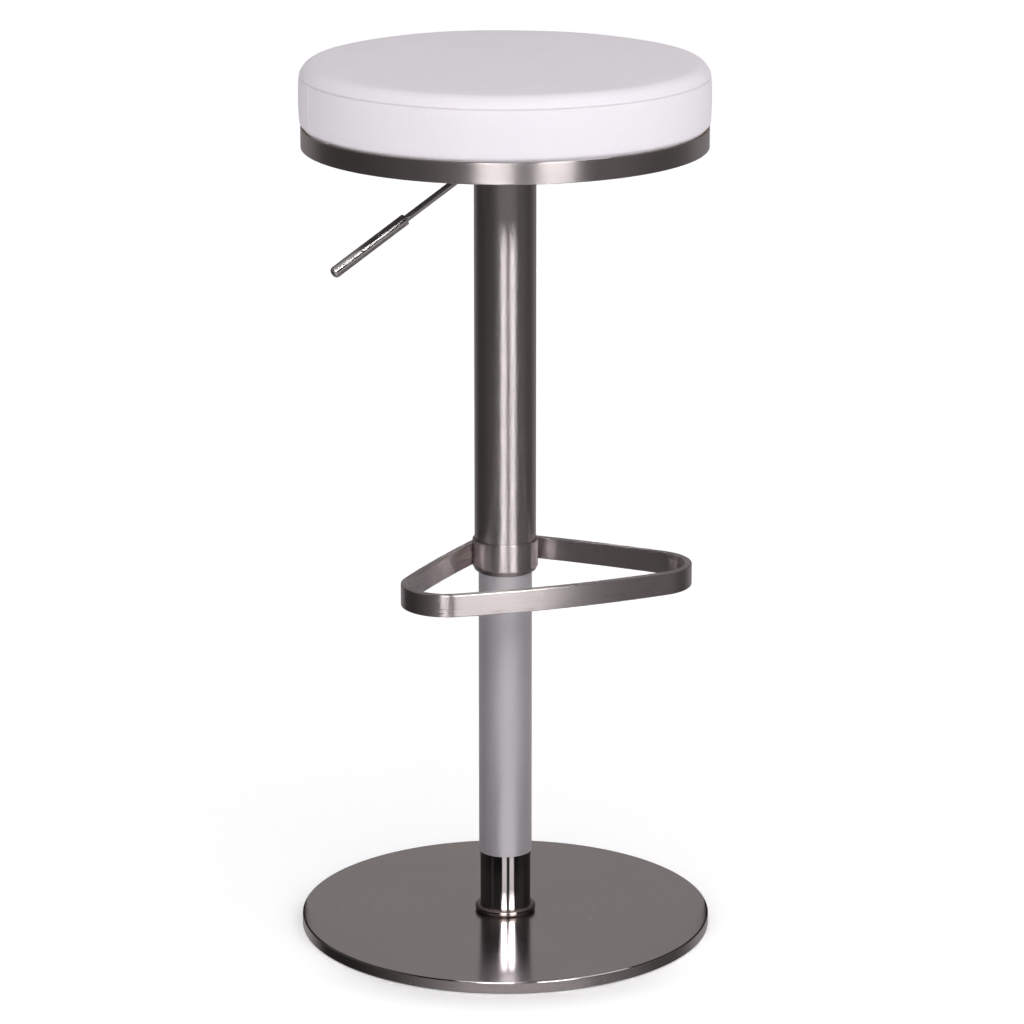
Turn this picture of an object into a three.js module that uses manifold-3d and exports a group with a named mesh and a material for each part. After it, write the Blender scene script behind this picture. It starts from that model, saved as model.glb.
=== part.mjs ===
// Adjustable swivel stool: a padded seat on a gas spring, with a footrest and a weighted round base.
// Millimetres, +Z up. The origin is on the floor in the middle of the base. The footrest faces -Y
// and the release lever points to -X. The seat is drawn fully raised.
import * as THREE from 'three';
import { mergeVertices } from 'three/addons/utils/BufferGeometryUtils.js';
import manifoldModule from 'manifold-3d';

const wasm = await manifoldModule();
wasm.setup();

// Driving sizes of the whole stool
const seatHeight = 870; // floor to the top of the cushion
const seatDiameter = 390; // across the steel band
const baseDiameter = 405;
const baseHeight = 12;
const footrestHeight = 393.3; // floor to the top of the footrest bar
const liftTravel = 215;

// Clearances
const touchGap = 0.3; // left between pieces that bear on, or are welded to, each other
const slideGap = 0.3; // between the sleeve and the nylon bushes that slide on it
const runGap = 0.15; // between a round piece and the bore that it runs in
const boltGap = 0.3; // between a bolt's shank and its hole
const stopGap = 1.5; // left at the end of a travel, before the rubber stop
const cutMargin = 1; // how far a cutter runs past the face that it cuts

// Base
const coverSheet = 1.2;
const coverEdgeRadius = 2;
const skirtClearance = 0.8; // between the cover's skirt and the floor
const floorRingHeight = 1.7;
const floorRingWidth = 12;
const floorRingInset = 9; // from the ballast plate's edge
const ballastThickness = 5;
const ballastInset = 0.6; // between the ballast plate and the cover's skirt
const flangeWidth = 23; // from the tube to the flange's edge
const flangeBoltCount = 4;
const flangeBoltRadius = 3;
const flangeBoltHeadRadius = 5.5;
const flangeBoltHeadHeight = 2.6;
const flangeBoltRim = 0.4; // straight part of the head, under its cone
const flangeBoltLength = 7.8;
const socketRadius = 2; // from the middle to a corner of the bolt's hexagon socket
const socketDepth = 1.6;

// Column
const tubeDiameter = 50;
const tubeWall = 2;
const sleeveWall = 0.85;
const sleeveStart = 75; // floor to the sleeve's lower end
const columnRingHeight = 6.5;
const columnRingWidth = 4.7;
const guideOverlap = 78; // of the standing tube inside the seat post
const guideLength = 70;
const guideLip = 3;

// Gas spring and its thrust bearing
const cylinderDiameter = 28;
const cylinderWall = 1.5;
const rodDiameter = 10;
const rodNeckDiameter = 8;
const clipGrooveDepth = 0.8;
const clipThickness = 1.2;
const clipRadius = 8;
const rodTail = 2; // of the rod below its clip
const rodLift = 4; // of the rod's end above the tube's lower end
const rodSeatThickness = 4;
const washerThickness = 2;
const washerInset = 6; // from the tube's wall to the washers' edges
const ballDiameter = 4.8;
const ballCount = 8;
const cageThickness = 2;
const bumpHeight = 20;
const bumpRadius = 12;
const rodGuideLength = 20;
const pistonLength = 14;
const valveBodyLength = 22;
const valveBodyDrop = 1; // of the valve body inside the cylinder's top end
const valvePinDiameter = 6;
const valvePinLength = 18;
const valvePinStandOut = 5.2; // above the cylinder's top end

// Seat post and footrest
const bushWall = 1.25;
const bushLength = 20;
const upperBushRise = 47; // from the post's lower end to the upper bush
const postWall = 2;
const collarWall = 1.7;
const collarHeight = 33.2;
const collarRise = 3.7; // of the collar's top over the footrest bar
const collarChamfer = 6;
const collarLip = 2.7; // height of the lip that the post stands in
const barHeight = 21.5;
const barThickness = 7.2;
const footrestHalfWidth = 145.5;
const footrestReach = 167; // from the column's axis to the bar's front face
const footrestCornerRadius = 44;
const footrestFrontBow = 830; // radius of the front bar's slight bow
const footrestSideBow = 1250; // radius of each side bar's slight bow
const barSideOffset = 31; // from the column's axis to the outer face of each side bar

// Seat
const cushionHeight = 64.5; // of the cushion above the band
const bandHeight = 20;
const bandWall = 1.2;
const boardThickness = 15;
const boardInset = 3; // of the board's underside above the band's lower edge
const bottomCoverThickness = 1.2;
const coverWall = 1.8;
const cushionBulge = 2; // of the cushion's side past the band
const cushionEdgeRadius = 13;
const plateSize = 160;
const plateThickness = 3;
const plateCornerRadius = 14;
const plateScrewSpacing = 120;
const plateScrewRadius = 3;
const plateScrewLength = 16;
const screwHeadRadius = 5;
const screwHeadHeight = 4;
const teeNutWall = 1;
const teeNutFlangeRadius = 9;
const teeNutFlangeThickness = 1.5;
const teeNutLength = 12;

// Release lever
const leverDrop = 21.2; // of the lever's pivot below the mounting plate
const pivotOffset = 16; // from the column's axis to the lever's pivot
const pivotPinRadius = 2;
const armHeight = 9;
const armThickness = 5;
const armInnerReach = 21; // from the pivot to the arm's end over the valve pin
const armOuterReach = 8;
const leverSlotClearance = 4; // above and below the arm
const leverSlotWidth = 8;
const leverRodRadius = 3.4;
const leverBendRadius = 14;
const leverBendOffset = 5; // from the post's outside to the corner of the bend
const leverSlope = THREE.MathUtils.degToRad(33.2);
const leverReach = 166.8; // from the corner of the bend to the handle's tip
const handleRadius = 5.7;
const handleLength = 88.5;
const handleBoreDepth = 55;
const handleTipRadius = 4;
const socketBlockHeight = 56;

// How finely round pieces are drawn
const discSegments = 48;
const columnSegments = 32;
const shaftSegments = 24;
const boltSegments = 12;
const ballSegments = 8;
const leverRodSteps = 30;
const edgeSteps = 2;
const crownSteps = 4;
const cornerSteps = 10;
const bowSteps = 4;

// Radii that follow from the sizes above
const tubeRadius = tubeDiameter / 2;
const tubeBore = tubeRadius - tubeWall;
const sleeveBore = tubeRadius + touchGap;
const sleeveRadius = sleeveBore + sleeveWall;
const bushBore = sleeveRadius + slideGap;
const bushRadius = bushBore + bushWall;
const postBore = bushRadius + touchGap;
const postRadius = postBore + postWall;
const collarBore = postRadius + touchGap;
const collarRadius = collarBore + collarWall;
const flangeRadius = tubeRadius + flangeWidth;
const flangeBoltCircle = (tubeRadius + flangeRadius) / 2;
const cylinderRadius = cylinderDiameter / 2;
const cylinderBore = cylinderRadius - cylinderWall;
const rodRadius = rodDiameter / 2;
const rodNeckRadius = rodNeckDiameter / 2;
const washerRadius = tubeBore - washerInset;
const ballCircle = (rodNeckRadius + washerRadius) / 2;
const ballRadius = ballDiameter / 2;
const valvePinRadius = valvePinDiameter / 2;
const bandRadius = seatDiameter / 2;
const boardRadius = bandRadius - bandWall - touchGap;
const cushionRadius = bandRadius + cushionBulge;
const teeNutBore = plateScrewRadius + boltGap;

// Heights above the floor that follow from the sizes above
const plateUnderside = floorRingHeight + touchGap;
const coverUnderside = baseHeight - coverSheet;
const ballastTop = plateUnderside + ballastThickness;
const flangeBottom = ballastTop + touchGap;
const flangeTop = coverUnderside - touchGap;
const rodEnd = plateUnderside + rodLift;
const clipBottom = rodEnd + rodTail;
const rodSeatBottom = clipBottom + clipThickness + touchGap;
const lowerWasherBottom = rodSeatBottom + rodSeatThickness + touchGap;
const ballCentre = lowerWasherBottom + washerThickness + touchGap + ballRadius;
const upperWasherBottom = ballCentre + ballRadius + touchGap;
const rodShoulder = upperWasherBottom + washerThickness + touchGap;
const bumpTop = rodShoulder + bumpHeight;
const cylinderBottom = bumpTop + liftTravel + stopGap;
const rodGuideBottom = cylinderBottom + touchGap;
const pistonBottom = rodGuideBottom + rodGuideLength + stopGap;
const rodTop = pistonBottom + pistonLength;
const collarTop = footrestHeight + collarRise;
const collarBottom = collarTop - collarHeight;
const postBottom = collarBottom + collarLip + touchGap;
const tubeTop = collarBottom + guideOverlap;
const upperBushBottom = postBottom + upperBushRise;
const bandTop = seatHeight - cushionHeight;
const bandBottom = bandTop - bandHeight;
const boardBottom = bandBottom + boardInset;
const boardTop = boardBottom + boardThickness;
const cushionBottom = boardTop + touchGap;
const plateTop = boardBottom - touchGap;
const plateBottom = plateTop - plateThickness;
const postTop = plateBottom - touchGap;
const pivotLevel = plateBottom - leverDrop;
const armBottom = pivotLevel - armHeight / 2;
const valvePinTop = armBottom - touchGap;
const cylinderTop = valvePinTop - valvePinStandOut;
const bendCorner = -(postRadius + leverBendOffset);

// Materials
function finish(colour, roughness, metalness) {
  return new THREE.MeshStandardMaterial({ color: colour, roughness, metalness });
}

const chrome = finish(0xd8d8da, 0.08, 1);
const brushedSteel = finish(0xa9a5a4, 0.32, 1);
const mattSilver = finish(0xb7b3b6, 0.5, 0.7);
const plainSteel = finish(0x77777a, 0.5, 1);
const blackSteel = finish(0x222224, 0.55, 0.6);
const rubber = finish(0x161616, 0.9, 0);
const nylon = finish(0xd9d6cc, 0.6, 0);
const plywood = finish(0xc2a070, 0.8, 0);
const feltBlack = finish(0x1c1c1e, 0.95, 0);
const foam = finish(0xefe2b8, 0.95, 0);
const fauxLeather = finish(0xf1eef0, 0.55, 0);

const stool = new THREE.Group();

function place(name, geometry, material, position = [0, 0, 0], parent = stool) {
  const mesh = new THREE.Mesh(geometry, material);
  mesh.name = name;
  mesh.position.set(...position);
  parent.add(mesh);
}

// A body of revolution about Z. The profile is a list of [radius, height], counter-clockwise with the
// radius to the right, and either closes on itself or starts and ends on the axis.
function turned(profile, segments) {
  const points = profile.map(([radius, height]) => new THREE.Vector2(radius, height));
  if (profile[0][0] > 0) points.push(points[0].clone());
  return new THREE.LatheGeometry(points, segments).rotateX(Math.PI / 2);
}

function ring(bore, radius, height, segments) {
  return turned([[bore, 0], [radius, 0], [radius, height], [bore, height]], segments);
}

function rod(radius, height, segments) {
  return new THREE.CylinderGeometry(radius, radius, height, segments)
    .rotateX(Math.PI / 2)
    .translate(0, 0, height / 2);
}

// Points of a quarter circle or less, as [radius, height], from one angle to another.
function arc(centreRadius, centreHeight, arcRadius, from, to, steps) {
  return Array.from({ length: steps + 1 }, (unused, step) => {
    const angle = from + ((to - from) * step) / steps;
    return [
      centreRadius + arcRadius * Math.cos(angle),
      centreHeight + arcRadius * Math.sin(angle),
    ];
  });
}

// The rounded outer edge at the top of a round piece.
function roundedEdge(radius, top, edgeRadius) {
  return arc(radius - edgeRadius, top - edgeRadius, edgeRadius, 0, Math.PI / 2, edgeSteps);
}

// Places spread evenly round a circle, with the first one turned away from the X axis.
function around(count, radius, startAngle) {
  return Array.from({ length: count }, (unused, index) => {
    const angle = startAngle + (2 * Math.PI * index) / count;
    return [radius * Math.cos(angle), radius * Math.sin(angle)];
  });
}

function toSolid(geometry) {
  const bare = geometry.clone();
  bare.deleteAttribute('normal');
  bare.deleteAttribute('uv');
  const merged = mergeVertices(bare, 1e-4);
  const corners = [];
  for (let i = 0; i < merged.index.count; i += 3) {
    const [a, b, c] = [0, 1, 2].map((step) => merged.index.getX(i + step));
    if (a !== b && b !== c && c !== a) corners.push(a, b, c);
  }
  return new wasm.Manifold(
    new wasm.Mesh({
      numProp: 3,
      vertProperties: merged.attributes.position.array,
      triVerts: new Uint32Array(corners),
    }),
  );
}

function cut(geometry, cutters) {
  const solid = cutters.reduce((left, cutter) => left.subtract(toSolid(cutter)), toSolid(geometry));
  const result = solid.getMesh();
  const made = new THREE.BufferGeometry();
  made.setAttribute('position', new THREE.BufferAttribute(result.vertProperties, 3));
  made.setIndex(new THREE.BufferAttribute(result.triVerts, 1));
  const flat = made.toNonIndexed();
  flat.computeVertexNormals();
  return flat;
}

// Base: a pressed cover over a heavy plate that stands on a rubber ring.
function addBase() {
  const radius = baseDiameter / 2;
  const skirtBore = radius - coverSheet;
  const hole = tubeRadius + touchGap;
  const edge = roundedEdge(radius, baseHeight, coverEdgeRadius);
  const profile = [
    [hole, coverUnderside],
    [skirtBore, coverUnderside],
    [skirtBore, skirtClearance],
    [radius, skirtClearance],
    ...edge,
    [hole, baseHeight],
  ];
  place('base_cover', turned(profile, discSegments), brushedSteel);

  const plateRadius = skirtBore - ballastInset;
  const boltPlaces = around(flangeBoltCount, flangeBoltCircle, Math.PI / flangeBoltCount);
  const boltHoles = boltPlaces.map(([x, y]) => boltShape(boltGap).translate(x, y, 0));
  const plate = cut(ring(hole, plateRadius, ballastThickness, discSegments), boltHoles);
  place('ballast_plate', plate, blackSteel, [0, 0, plateUnderside]);

  const floorRingRadius = plateRadius - floorRingInset;
  const floorRing = ring(floorRingRadius - floorRingWidth, floorRingRadius, floorRingHeight, discSegments);
  place('floor_ring', floorRing, rubber);

  const threads = boltPlaces.map(([x, y]) =>
    rod(flangeBoltRadius + boltGap, baseHeight, boltSegments).translate(x, y, -cutMargin),
  );
  const flange = ring(hole, flangeRadius, flangeTop - flangeBottom, columnSegments);
  place('column_flange', cut(flange, threads), blackSteel, [0, 0, flangeBottom]);

  const socket = new THREE.CylinderGeometry(socketRadius, socketRadius, socketDepth + cutMargin, 6)
    .rotateX(Math.PI / 2)
    .translate(0, 0, (socketDepth - cutMargin) / 2);
  boltPlaces.forEach(([x, y], index) => {
    place('flange_bolt_' + (index + 1), cut(boltShape(0), [socket]), plainSteel, [x, y, plateUnderside]);
  });
}

// A countersunk bolt, head down, or its hole when it is grown by a clearance.
function boltShape(growth) {
  const head = flangeBoltHeadRadius + growth;
  const shank = flangeBoltRadius + growth;
  const profile = [
    [0, -growth],
    [head, -growth],
    [head, flangeBoltRim + growth],
    [shank, flangeBoltHeadHeight + growth],
    [shank, flangeBoltLength],
    [0, flangeBoltLength],
  ];
  return turned(profile, boltSegments);
}

// Column: the chromed tube, the silver sleeve on it and the ring that covers its foot.
function addColumn() {
  const tube = ring(tubeBore, tubeRadius, tubeTop - plateUnderside, columnSegments);
  place('standing_tube', tube, chrome, [0, 0, plateUnderside]);

  const ringBore = tubeRadius + touchGap;
  const half = columnRingHeight / 2;
  const crown = arc(ringBore + columnRingWidth - half, half, half, -Math.PI / 2, Math.PI / 2, crownSteps);
  const ringProfile = [[ringBore, 0], ...crown, [ringBore, columnRingHeight]];
  place('column_ring', turned(ringProfile, columnSegments), brushedSteel, [0, 0, baseHeight + touchGap]);

  const sleeve = ring(sleeveBore, sleeveRadius, tubeTop - sleeveStart, columnSegments);
  place('guide_sleeve', sleeve, mattSilver, [0, 0, sleeveStart]);

  const guideBore = cylinderRadius + runGap;
  const guideRadius = tubeBore - touchGap;
  const guideProfile = [
    [guideBore, 0],
    [guideRadius, 0],
    [guideRadius, guideLength + touchGap],
    [tubeRadius, guideLength + touchGap],
    [tubeRadius, guideLength + touchGap + guideLip],
    [guideBore, guideLength + touchGap + guideLip],
  ];
  const guide = turned(guideProfile, columnSegments);
  place('cylinder_guide', guide, nylon, [0, 0, tubeTop - guideLength]);
}

// Swivel bearing at the foot of the column, from the rod's clip up to the rubber stop.
function addBearing() {
  const neckHole = rodNeckRadius + runGap;
  const seat = ring(neckHole, tubeBore - touchGap, rodSeatThickness, shaftSegments);
  place('rod_seat', seat, plainSteel, [0, 0, rodSeatBottom]);

  const clipBore = rodNeckRadius - clipGrooveDepth + runGap;
  const clip = ring(clipBore, clipRadius, clipThickness, shaftSegments);
  place('rod_clip', clip, plainSteel, [0, 0, clipBottom]);

  const washer = () => ring(neckHole, washerRadius, washerThickness, shaftSegments);
  place('thrust_washer_lower', washer(), plainSteel, [0, 0, lowerWasherBottom]);
  place('thrust_washer_upper', washer(), plainSteel, [0, 0, upperWasherBottom]);

  const ballPlaces = around(ballCount, ballCircle, 0);
  const pockets = ballPlaces.map(([x, y]) =>
    rod(ballRadius + runGap, cageThickness + 2 * cutMargin, boltSegments).translate(x, y, -cutMargin),
  );
  const cage = ring(neckHole + runGap, washerRadius, cageThickness, shaftSegments);
  place('ball_cage', cut(cage, pockets), nylon, [0, 0, ballCentre - cageThickness / 2]);
  ballPlaces.forEach(([x, y], index) => {
    const ball = new THREE.SphereGeometry(ballRadius, ballSegments, ballSegments - 2);
    place('thrust_ball_' + (index + 1), ball, plainSteel, [x, y, ballCentre]);
  });

  const bump = ring(rodRadius + touchGap, bumpRadius, bumpHeight - touchGap, shaftSegments);
  place('bump_stop', bump, rubber, [0, 0, rodShoulder + touchGap]);
}

// Gas spring: the rod and piston stay with the bearing, and the cylinder rises with the seat.
function addGasSpring() {
  const grooveRadius = rodNeckRadius - clipGrooveDepth;
  const grooveTop = clipBottom + clipThickness + touchGap / 2;
  const grooveBottom = clipBottom - touchGap / 2;
  const rodProfile = [
    [0, rodEnd],
    [rodNeckRadius, rodEnd],
    [rodNeckRadius, grooveBottom],
    [grooveRadius, grooveBottom],
    [grooveRadius, grooveTop],
    [rodNeckRadius, grooveTop],
    [rodNeckRadius, rodShoulder],
    [rodRadius, rodShoulder],
    [rodRadius, rodTop],
    [0, rodTop],
  ];
  place('piston_rod', turned(rodProfile, shaftSegments), chrome);

  const piston = ring(rodRadius + touchGap, cylinderBore - runGap, pistonLength, shaftSegments);
  place('piston', piston, plainSteel, [0, 0, pistonBottom]);

  const rodGuide = ring(rodRadius + runGap, cylinderBore - touchGap, rodGuideLength, shaftSegments);
  place('rod_guide', rodGuide, nylon, [0, 0, rodGuideBottom]);

  const cylinder = ring(cylinderBore, cylinderRadius, cylinderTop - cylinderBottom, columnSegments);
  place('pressure_tube', cylinder, blackSteel, [0, 0, cylinderBottom]);

  const valveBody = ring(valvePinRadius + runGap, cylinderBore - touchGap, valveBodyLength, shaftSegments);
  place('valve_body', valveBody, plainSteel, [0, 0, cylinderTop - valveBodyDrop - valveBodyLength]);
  const pin = rod(valvePinRadius, valvePinLength, shaftSegments);
  place('valve_pin', pin, plainSteel, [0, 0, valvePinTop - valvePinLength]);
}

// The slot that the lever moves in, through the socket block and the post's wall.
function leverSlot() {
  const inner = armInnerReach - pivotOffset + leverSlotClearance;
  const outer = postRadius + cutMargin;
  const height = armHeight + 2 * leverSlotClearance;
  return new THREE.BoxGeometry(inner + outer, leverSlotWidth, height)
    .translate((inner - outer) / 2, 0, pivotLevel);
}

// Seat post: the outer tube, its two bushes, and the block that holds the cylinder's top end.
function addPost() {
  const tube = ring(postBore, postRadius, postTop - postBottom, columnSegments).translate(0, 0, postBottom);
  place('seat_post', cut(tube, [leverSlot()]), brushedSteel);

  const bush = () => ring(bushBore, bushRadius, bushLength, columnSegments);
  place('lower_slide_bush', bush(), nylon, [0, 0, postBottom + touchGap]);
  place('upper_slide_bush', bush(), nylon, [0, 0, upperBushBottom]);

  const blockRadius = postBore - touchGap;
  const block = rod(blockRadius, socketBlockHeight, columnSegments)
    .translate(0, 0, postTop - socketBlockHeight);
  const cylinderSeat = cylinderTop + touchGap;
  const seatBore = rod(cylinderRadius + touchGap, socketBlockHeight, columnSegments)
    .translate(0, 0, cylinderSeat - socketBlockHeight);
  const pinBore = rod(valvePinRadius + slideGap, pivotLevel - cylinderSeat + cutMargin, shaftSegments)
    .translate(0, 0, cylinderSeat - cutMargin);
  const pivotBore = new THREE.CylinderGeometry(
    pivotPinRadius + runGap,
    pivotPinRadius + runGap,
    2 * postRadius,
    boltSegments,
  ).translate(-pivotOffset, 0, pivotLevel);
  place('socket_block', cut(block, [seatBore, pinBore, leverSlot(), pivotBore]), plainSteel);

  const halfPin = Math.sqrt(blockRadius ** 2 - pivotOffset ** 2) - pivotPinRadius;
  const pivotPin = new THREE.CylinderGeometry(pivotPinRadius, pivotPinRadius, 2 * halfPin, boltSegments);
  place('pivot_pin', pivotPin, plainSteel, [-pivotOffset, 0, pivotLevel]);
}

// Outline of the bar in plan, offset inwards from its outer face: from the left side's foot next to the
// column, round the two front corners, to the right side's foot. The front and the sides bow slightly
// outwards: the corner circle touches the front's and the side's big circles from inside, and the side's
// circle passes the column's axis at the side offset.
function footrestOutline(inset) {
  const frontY = footrestFrontBow - footrestReach;
  const cornerX = footrestHalfWidth - footrestCornerRadius;
  const frontTurn = Math.asin(cornerX / (footrestFrontBow - footrestCornerRadius));
  const cornerY = frontY - (footrestFrontBow - footrestCornerRadius) * Math.cos(frontTurn);
  const cornerAway = Math.hypot(cornerX, cornerY);
  const fromCorner = footrestSideBow - footrestCornerRadius;
  const fromAxis = footrestSideBow - barSideOffset;
  const nearer = (fromAxis ** 2 - fromCorner ** 2 + cornerAway ** 2) / (2 * cornerAway);
  const across = Math.sqrt(fromAxis ** 2 - nearer ** 2);
  const sideX = (nearer * cornerX + across * cornerY) / cornerAway;
  const sideY = (nearer * cornerY - across * cornerX) / cornerAway;
  const frontEnd = frontTurn - Math.PI / 2;
  const cornerEnd = Math.atan2(cornerY - sideY, cornerX - sideX);
  const footTurn = Math.atan2(-sideY, -sideX);
  const right = [
    ...arc(0, frontY, footrestFrontBow - inset, -Math.PI / 2, frontEnd, bowSteps),
    ...arc(cornerX, cornerY, footrestCornerRadius - inset, frontEnd, cornerEnd, cornerSteps).slice(1),
    ...arc(sideX, sideY, footrestSideBow - inset, cornerEnd, footTurn, bowSteps).slice(1),
  ];
  const left = right.slice(1).map(([x, y]) => [-x, y]).reverse();
  return [...left, ...right];
}

// Footrest: a flat bar bent to a triangle, welded to a collar round the foot of the post.
function addFootrest() {
  const collarProfile = [
    [bushBore, 0],
    [collarRadius, collarChamfer],
    [collarRadius, collarHeight],
    [collarBore, collarHeight],
    [collarBore, collarLip],
    [bushBore, collarLip],
  ];
  place('footrest_collar', turned(collarProfile, columnSegments), brushedSteel, [0, 0, collarBottom]);

  const outline = [
    ...footrestOutline(0),
    ...footrestOutline(barThickness).reverse(),
  ];
  const shape = new THREE.Shape(outline.map(([x, y]) => new THREE.Vector2(x, y)));
  const bar = new THREE.ExtrudeGeometry(shape, { depth: barHeight, bevelEnabled: false });
  const collarSpace = rod(collarRadius + touchGap, barHeight + 2 * cutMargin, columnSegments)
    .translate(0, 0, -cutMargin);
  place('footrest_bar', cut(bar, [collarSpace]), brushedSteel, [0, 0, footrestHeight - barHeight]);
}

// Seat: plate, board, band, foam and cover.
function addSeat() {
  const half = plateSize / 2;
  const reach = plateScrewSpacing / 2;
  const screwPlaces = [[-reach, -reach], [reach, -reach], [reach, reach], [-reach, reach]];

  const plateShape = roundedSquare(half, plateCornerRadius);
  plateShape.holes = screwPlaces.map(([x, y]) =>
    new THREE.Path().absarc(x, y, plateScrewRadius + boltGap, 0, 2 * Math.PI, true),
  );
  const plate = new THREE.ExtrudeGeometry(plateShape, {
    depth: plateThickness,
    bevelEnabled: false,
    curveSegments: boltSegments / 2,
  });
  place('mounting_plate', plate, blackSteel, [0, 0, plateBottom]);

  const bottomShape = new THREE.Shape().absarc(0, 0, boardRadius, 0, 2 * Math.PI);
  bottomShape.holes = [roundedSquare(half + bottomCoverThickness, plateCornerRadius)];
  const bottomCover = new THREE.ExtrudeGeometry(bottomShape, {
    depth: bottomCoverThickness,
    bevelEnabled: false,
    curveSegments: boltSegments,
  });
  place('bottom_cover', bottomCover, feltBlack, [0, 0, plateTop - bottomCoverThickness]);

  const nutRadius = teeNutBore + teeNutWall;
  const nutTop = boardThickness;
  const nutHole = turned(
    [
      [0, -cutMargin],
      [nutRadius + touchGap, -cutMargin],
      [nutRadius + touchGap, nutTop - teeNutFlangeThickness - touchGap],
      [teeNutFlangeRadius + touchGap, nutTop - teeNutFlangeThickness - touchGap],
      [teeNutFlangeRadius + touchGap, nutTop + cutMargin],
      [0, nutTop + cutMargin],
    ],
    boltSegments,
  );
  const nutHoles = screwPlaces.map(([x, y]) => nutHole.clone().translate(x, y, 0));
  const board = rod(boardRadius, boardThickness, discSegments);
  place('seat_board', cut(board, nutHoles), plywood, [0, 0, boardBottom]);

  const nutProfile = [
    [teeNutBore, 0],
    [nutRadius, 0],
    [nutRadius, teeNutLength - teeNutFlangeThickness],
    [teeNutFlangeRadius, teeNutLength - teeNutFlangeThickness],
    [teeNutFlangeRadius, teeNutLength],
    [teeNutBore, teeNutLength],
  ];
  const headTop = plateBottom - touchGap;
  const screwProfile = [
    [0, -screwHeadHeight],
    [screwHeadRadius, -screwHeadHeight],
    [screwHeadRadius, 0],
    [plateScrewRadius, 0],
    [plateScrewRadius, plateScrewLength],
    [0, plateScrewLength],
  ];
  screwPlaces.forEach(([x, y], index) => {
    const number = index + 1;
    const nutBottom = boardTop - teeNutLength;
    place('plate_screw_' + number, turned(screwProfile, boltSegments), plainSteel, [x, y, headTop]);
    place('tee_nut_' + number, turned(nutProfile, boltSegments), plainSteel, [x, y, nutBottom]);
  });

  const band = ring(bandRadius - bandWall, bandRadius, bandHeight, discSegments);
  place('seat_band', band, brushedSteel, [0, 0, bandBottom]);
  addCushion();
}

function roundedSquare(half, radius) {
  const shape = new THREE.Shape();
  const inner = half - radius;
  shape.absarc(inner, inner, radius, 0, Math.PI / 2);
  shape.absarc(-inner, inner, radius, Math.PI / 2, Math.PI);
  shape.absarc(-inner, -inner, radius, Math.PI, 1.5 * Math.PI);
  shape.absarc(inner, -inner, radius, 1.5 * Math.PI, 2 * Math.PI);
  return shape;
}

// Cushion: a foam pad inside a sewn cover that is open underneath. Inside the band both are as wide as
// the board, and above it the side swells past the band.
function addCushion() {
  const side = (inset) => {
    const radius = cushionRadius - inset;
    const top = seatHeight - inset;
    const edgeRadius = cushionEdgeRadius - inset;
    return [
      [boardRadius - inset, cushionBottom],
      [boardRadius - inset, bandTop + touchGap + inset],
      [radius, bandTop + touchGap + inset + cushionBulge],
      ...roundedEdge(radius, top, edgeRadius),
    ];
  };
  const foamInset = coverWall + touchGap;
  const foamProfile = [[0, cushionBottom], ...side(foamInset), [0, seatHeight - foamInset]];
  place('foam_pad', turned(foamProfile, discSegments), foam);

  const inside = [[0, seatHeight - coverWall], ...side(coverWall).reverse()];
  const coverProfile = [...inside, ...side(0), [0, seatHeight]];
  place('seat_cover', turned(coverProfile, discSegments), fauxLeather);
}

// Release lever: an arm on the pivot pin, a bent rod and a turned handle. Its group sits at the pivot.
function addLever() {
  const lever = new THREE.Group();
  lever.position.set(-pivotOffset, 0, pivotLevel);
  stool.add(lever);

  const arm = new THREE.Shape();
  arm.moveTo(-armOuterReach, -armHeight / 2);
  arm.lineTo(armInnerReach, -armHeight / 2);
  arm.lineTo(armInnerReach, armHeight / 2);
  arm.lineTo(-armOuterReach, armHeight / 2);
  arm.holes = [new THREE.Path().absarc(0, 0, pivotPinRadius + runGap, 0, 2 * Math.PI, true)];
  const armBody = new THREE.ExtrudeGeometry(arm, {
    depth: armThickness,
    bevelEnabled: false,
    curveSegments: boltSegments / 2,
  })
    .translate(0, 0, -armThickness / 2)
    .rotateX(Math.PI / 2);
  place('lever_arm', armBody, plainSteel, [0, 0, 0], lever);

  const corner = new THREE.Vector3(bendCorner + pivotOffset, 0, 0);
  const along = new THREE.Vector3(-Math.cos(leverSlope), 0, -Math.sin(leverSlope));
  const bendLength = leverBendRadius * Math.tan(leverSlope / 2);
  const start = new THREE.Vector3(-armOuterReach - touchGap, 0, 0);
  const bendStart = corner.clone().add(new THREE.Vector3(bendLength, 0, 0));
  const bendEnd = corner.clone().addScaledVector(along, bendLength);
  const rodEndPlace = corner.clone().addScaledVector(along, leverReach - handleLength + handleBoreDepth);
  const path = new THREE.CurvePath();
  path.add(new THREE.LineCurve3(start, bendStart));
  path.add(new THREE.QuadraticBezierCurve3(bendStart, corner, bendEnd));
  path.add(new THREE.LineCurve3(bendEnd, rodEndPlace));
  const section = new THREE.Shape().absarc(0, 0, leverRodRadius, 0, 2 * Math.PI);
  const rodBody = new THREE.ExtrudeGeometry(section, {
    steps: leverRodSteps,
    curveSegments: boltSegments / 2,
    extrudePath: path,
  });
  place('lever_rod', rodBody, chrome, [0, 0, 0], lever);

  const handle = new THREE.Group();
  handle.position.copy(corner).addScaledVector(along, leverReach - handleLength);
  handle.rotation.y = -(Math.PI / 2 + leverSlope);
  lever.add(handle);
  const bore = leverRodRadius + touchGap;
  const boreEnd = handleBoreDepth + touchGap;
  const handleProfile = [
    [0, boreEnd],
    [bore, boreEnd],
    [bore, 0],
    [handleRadius, 0],
    ...roundedEdge(handleRadius, handleLength, handleTipRadius),
    [0, handleLength],
  ];
  place('lever_handle', turned(handleProfile, shaftSegments), chrome, [0, 0, 0], handle);
}

addBase();
addColumn();
addBearing();
addGasSpring();
addPost();
addFootrest();
addSeat();
addLever();

export default stool;
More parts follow.
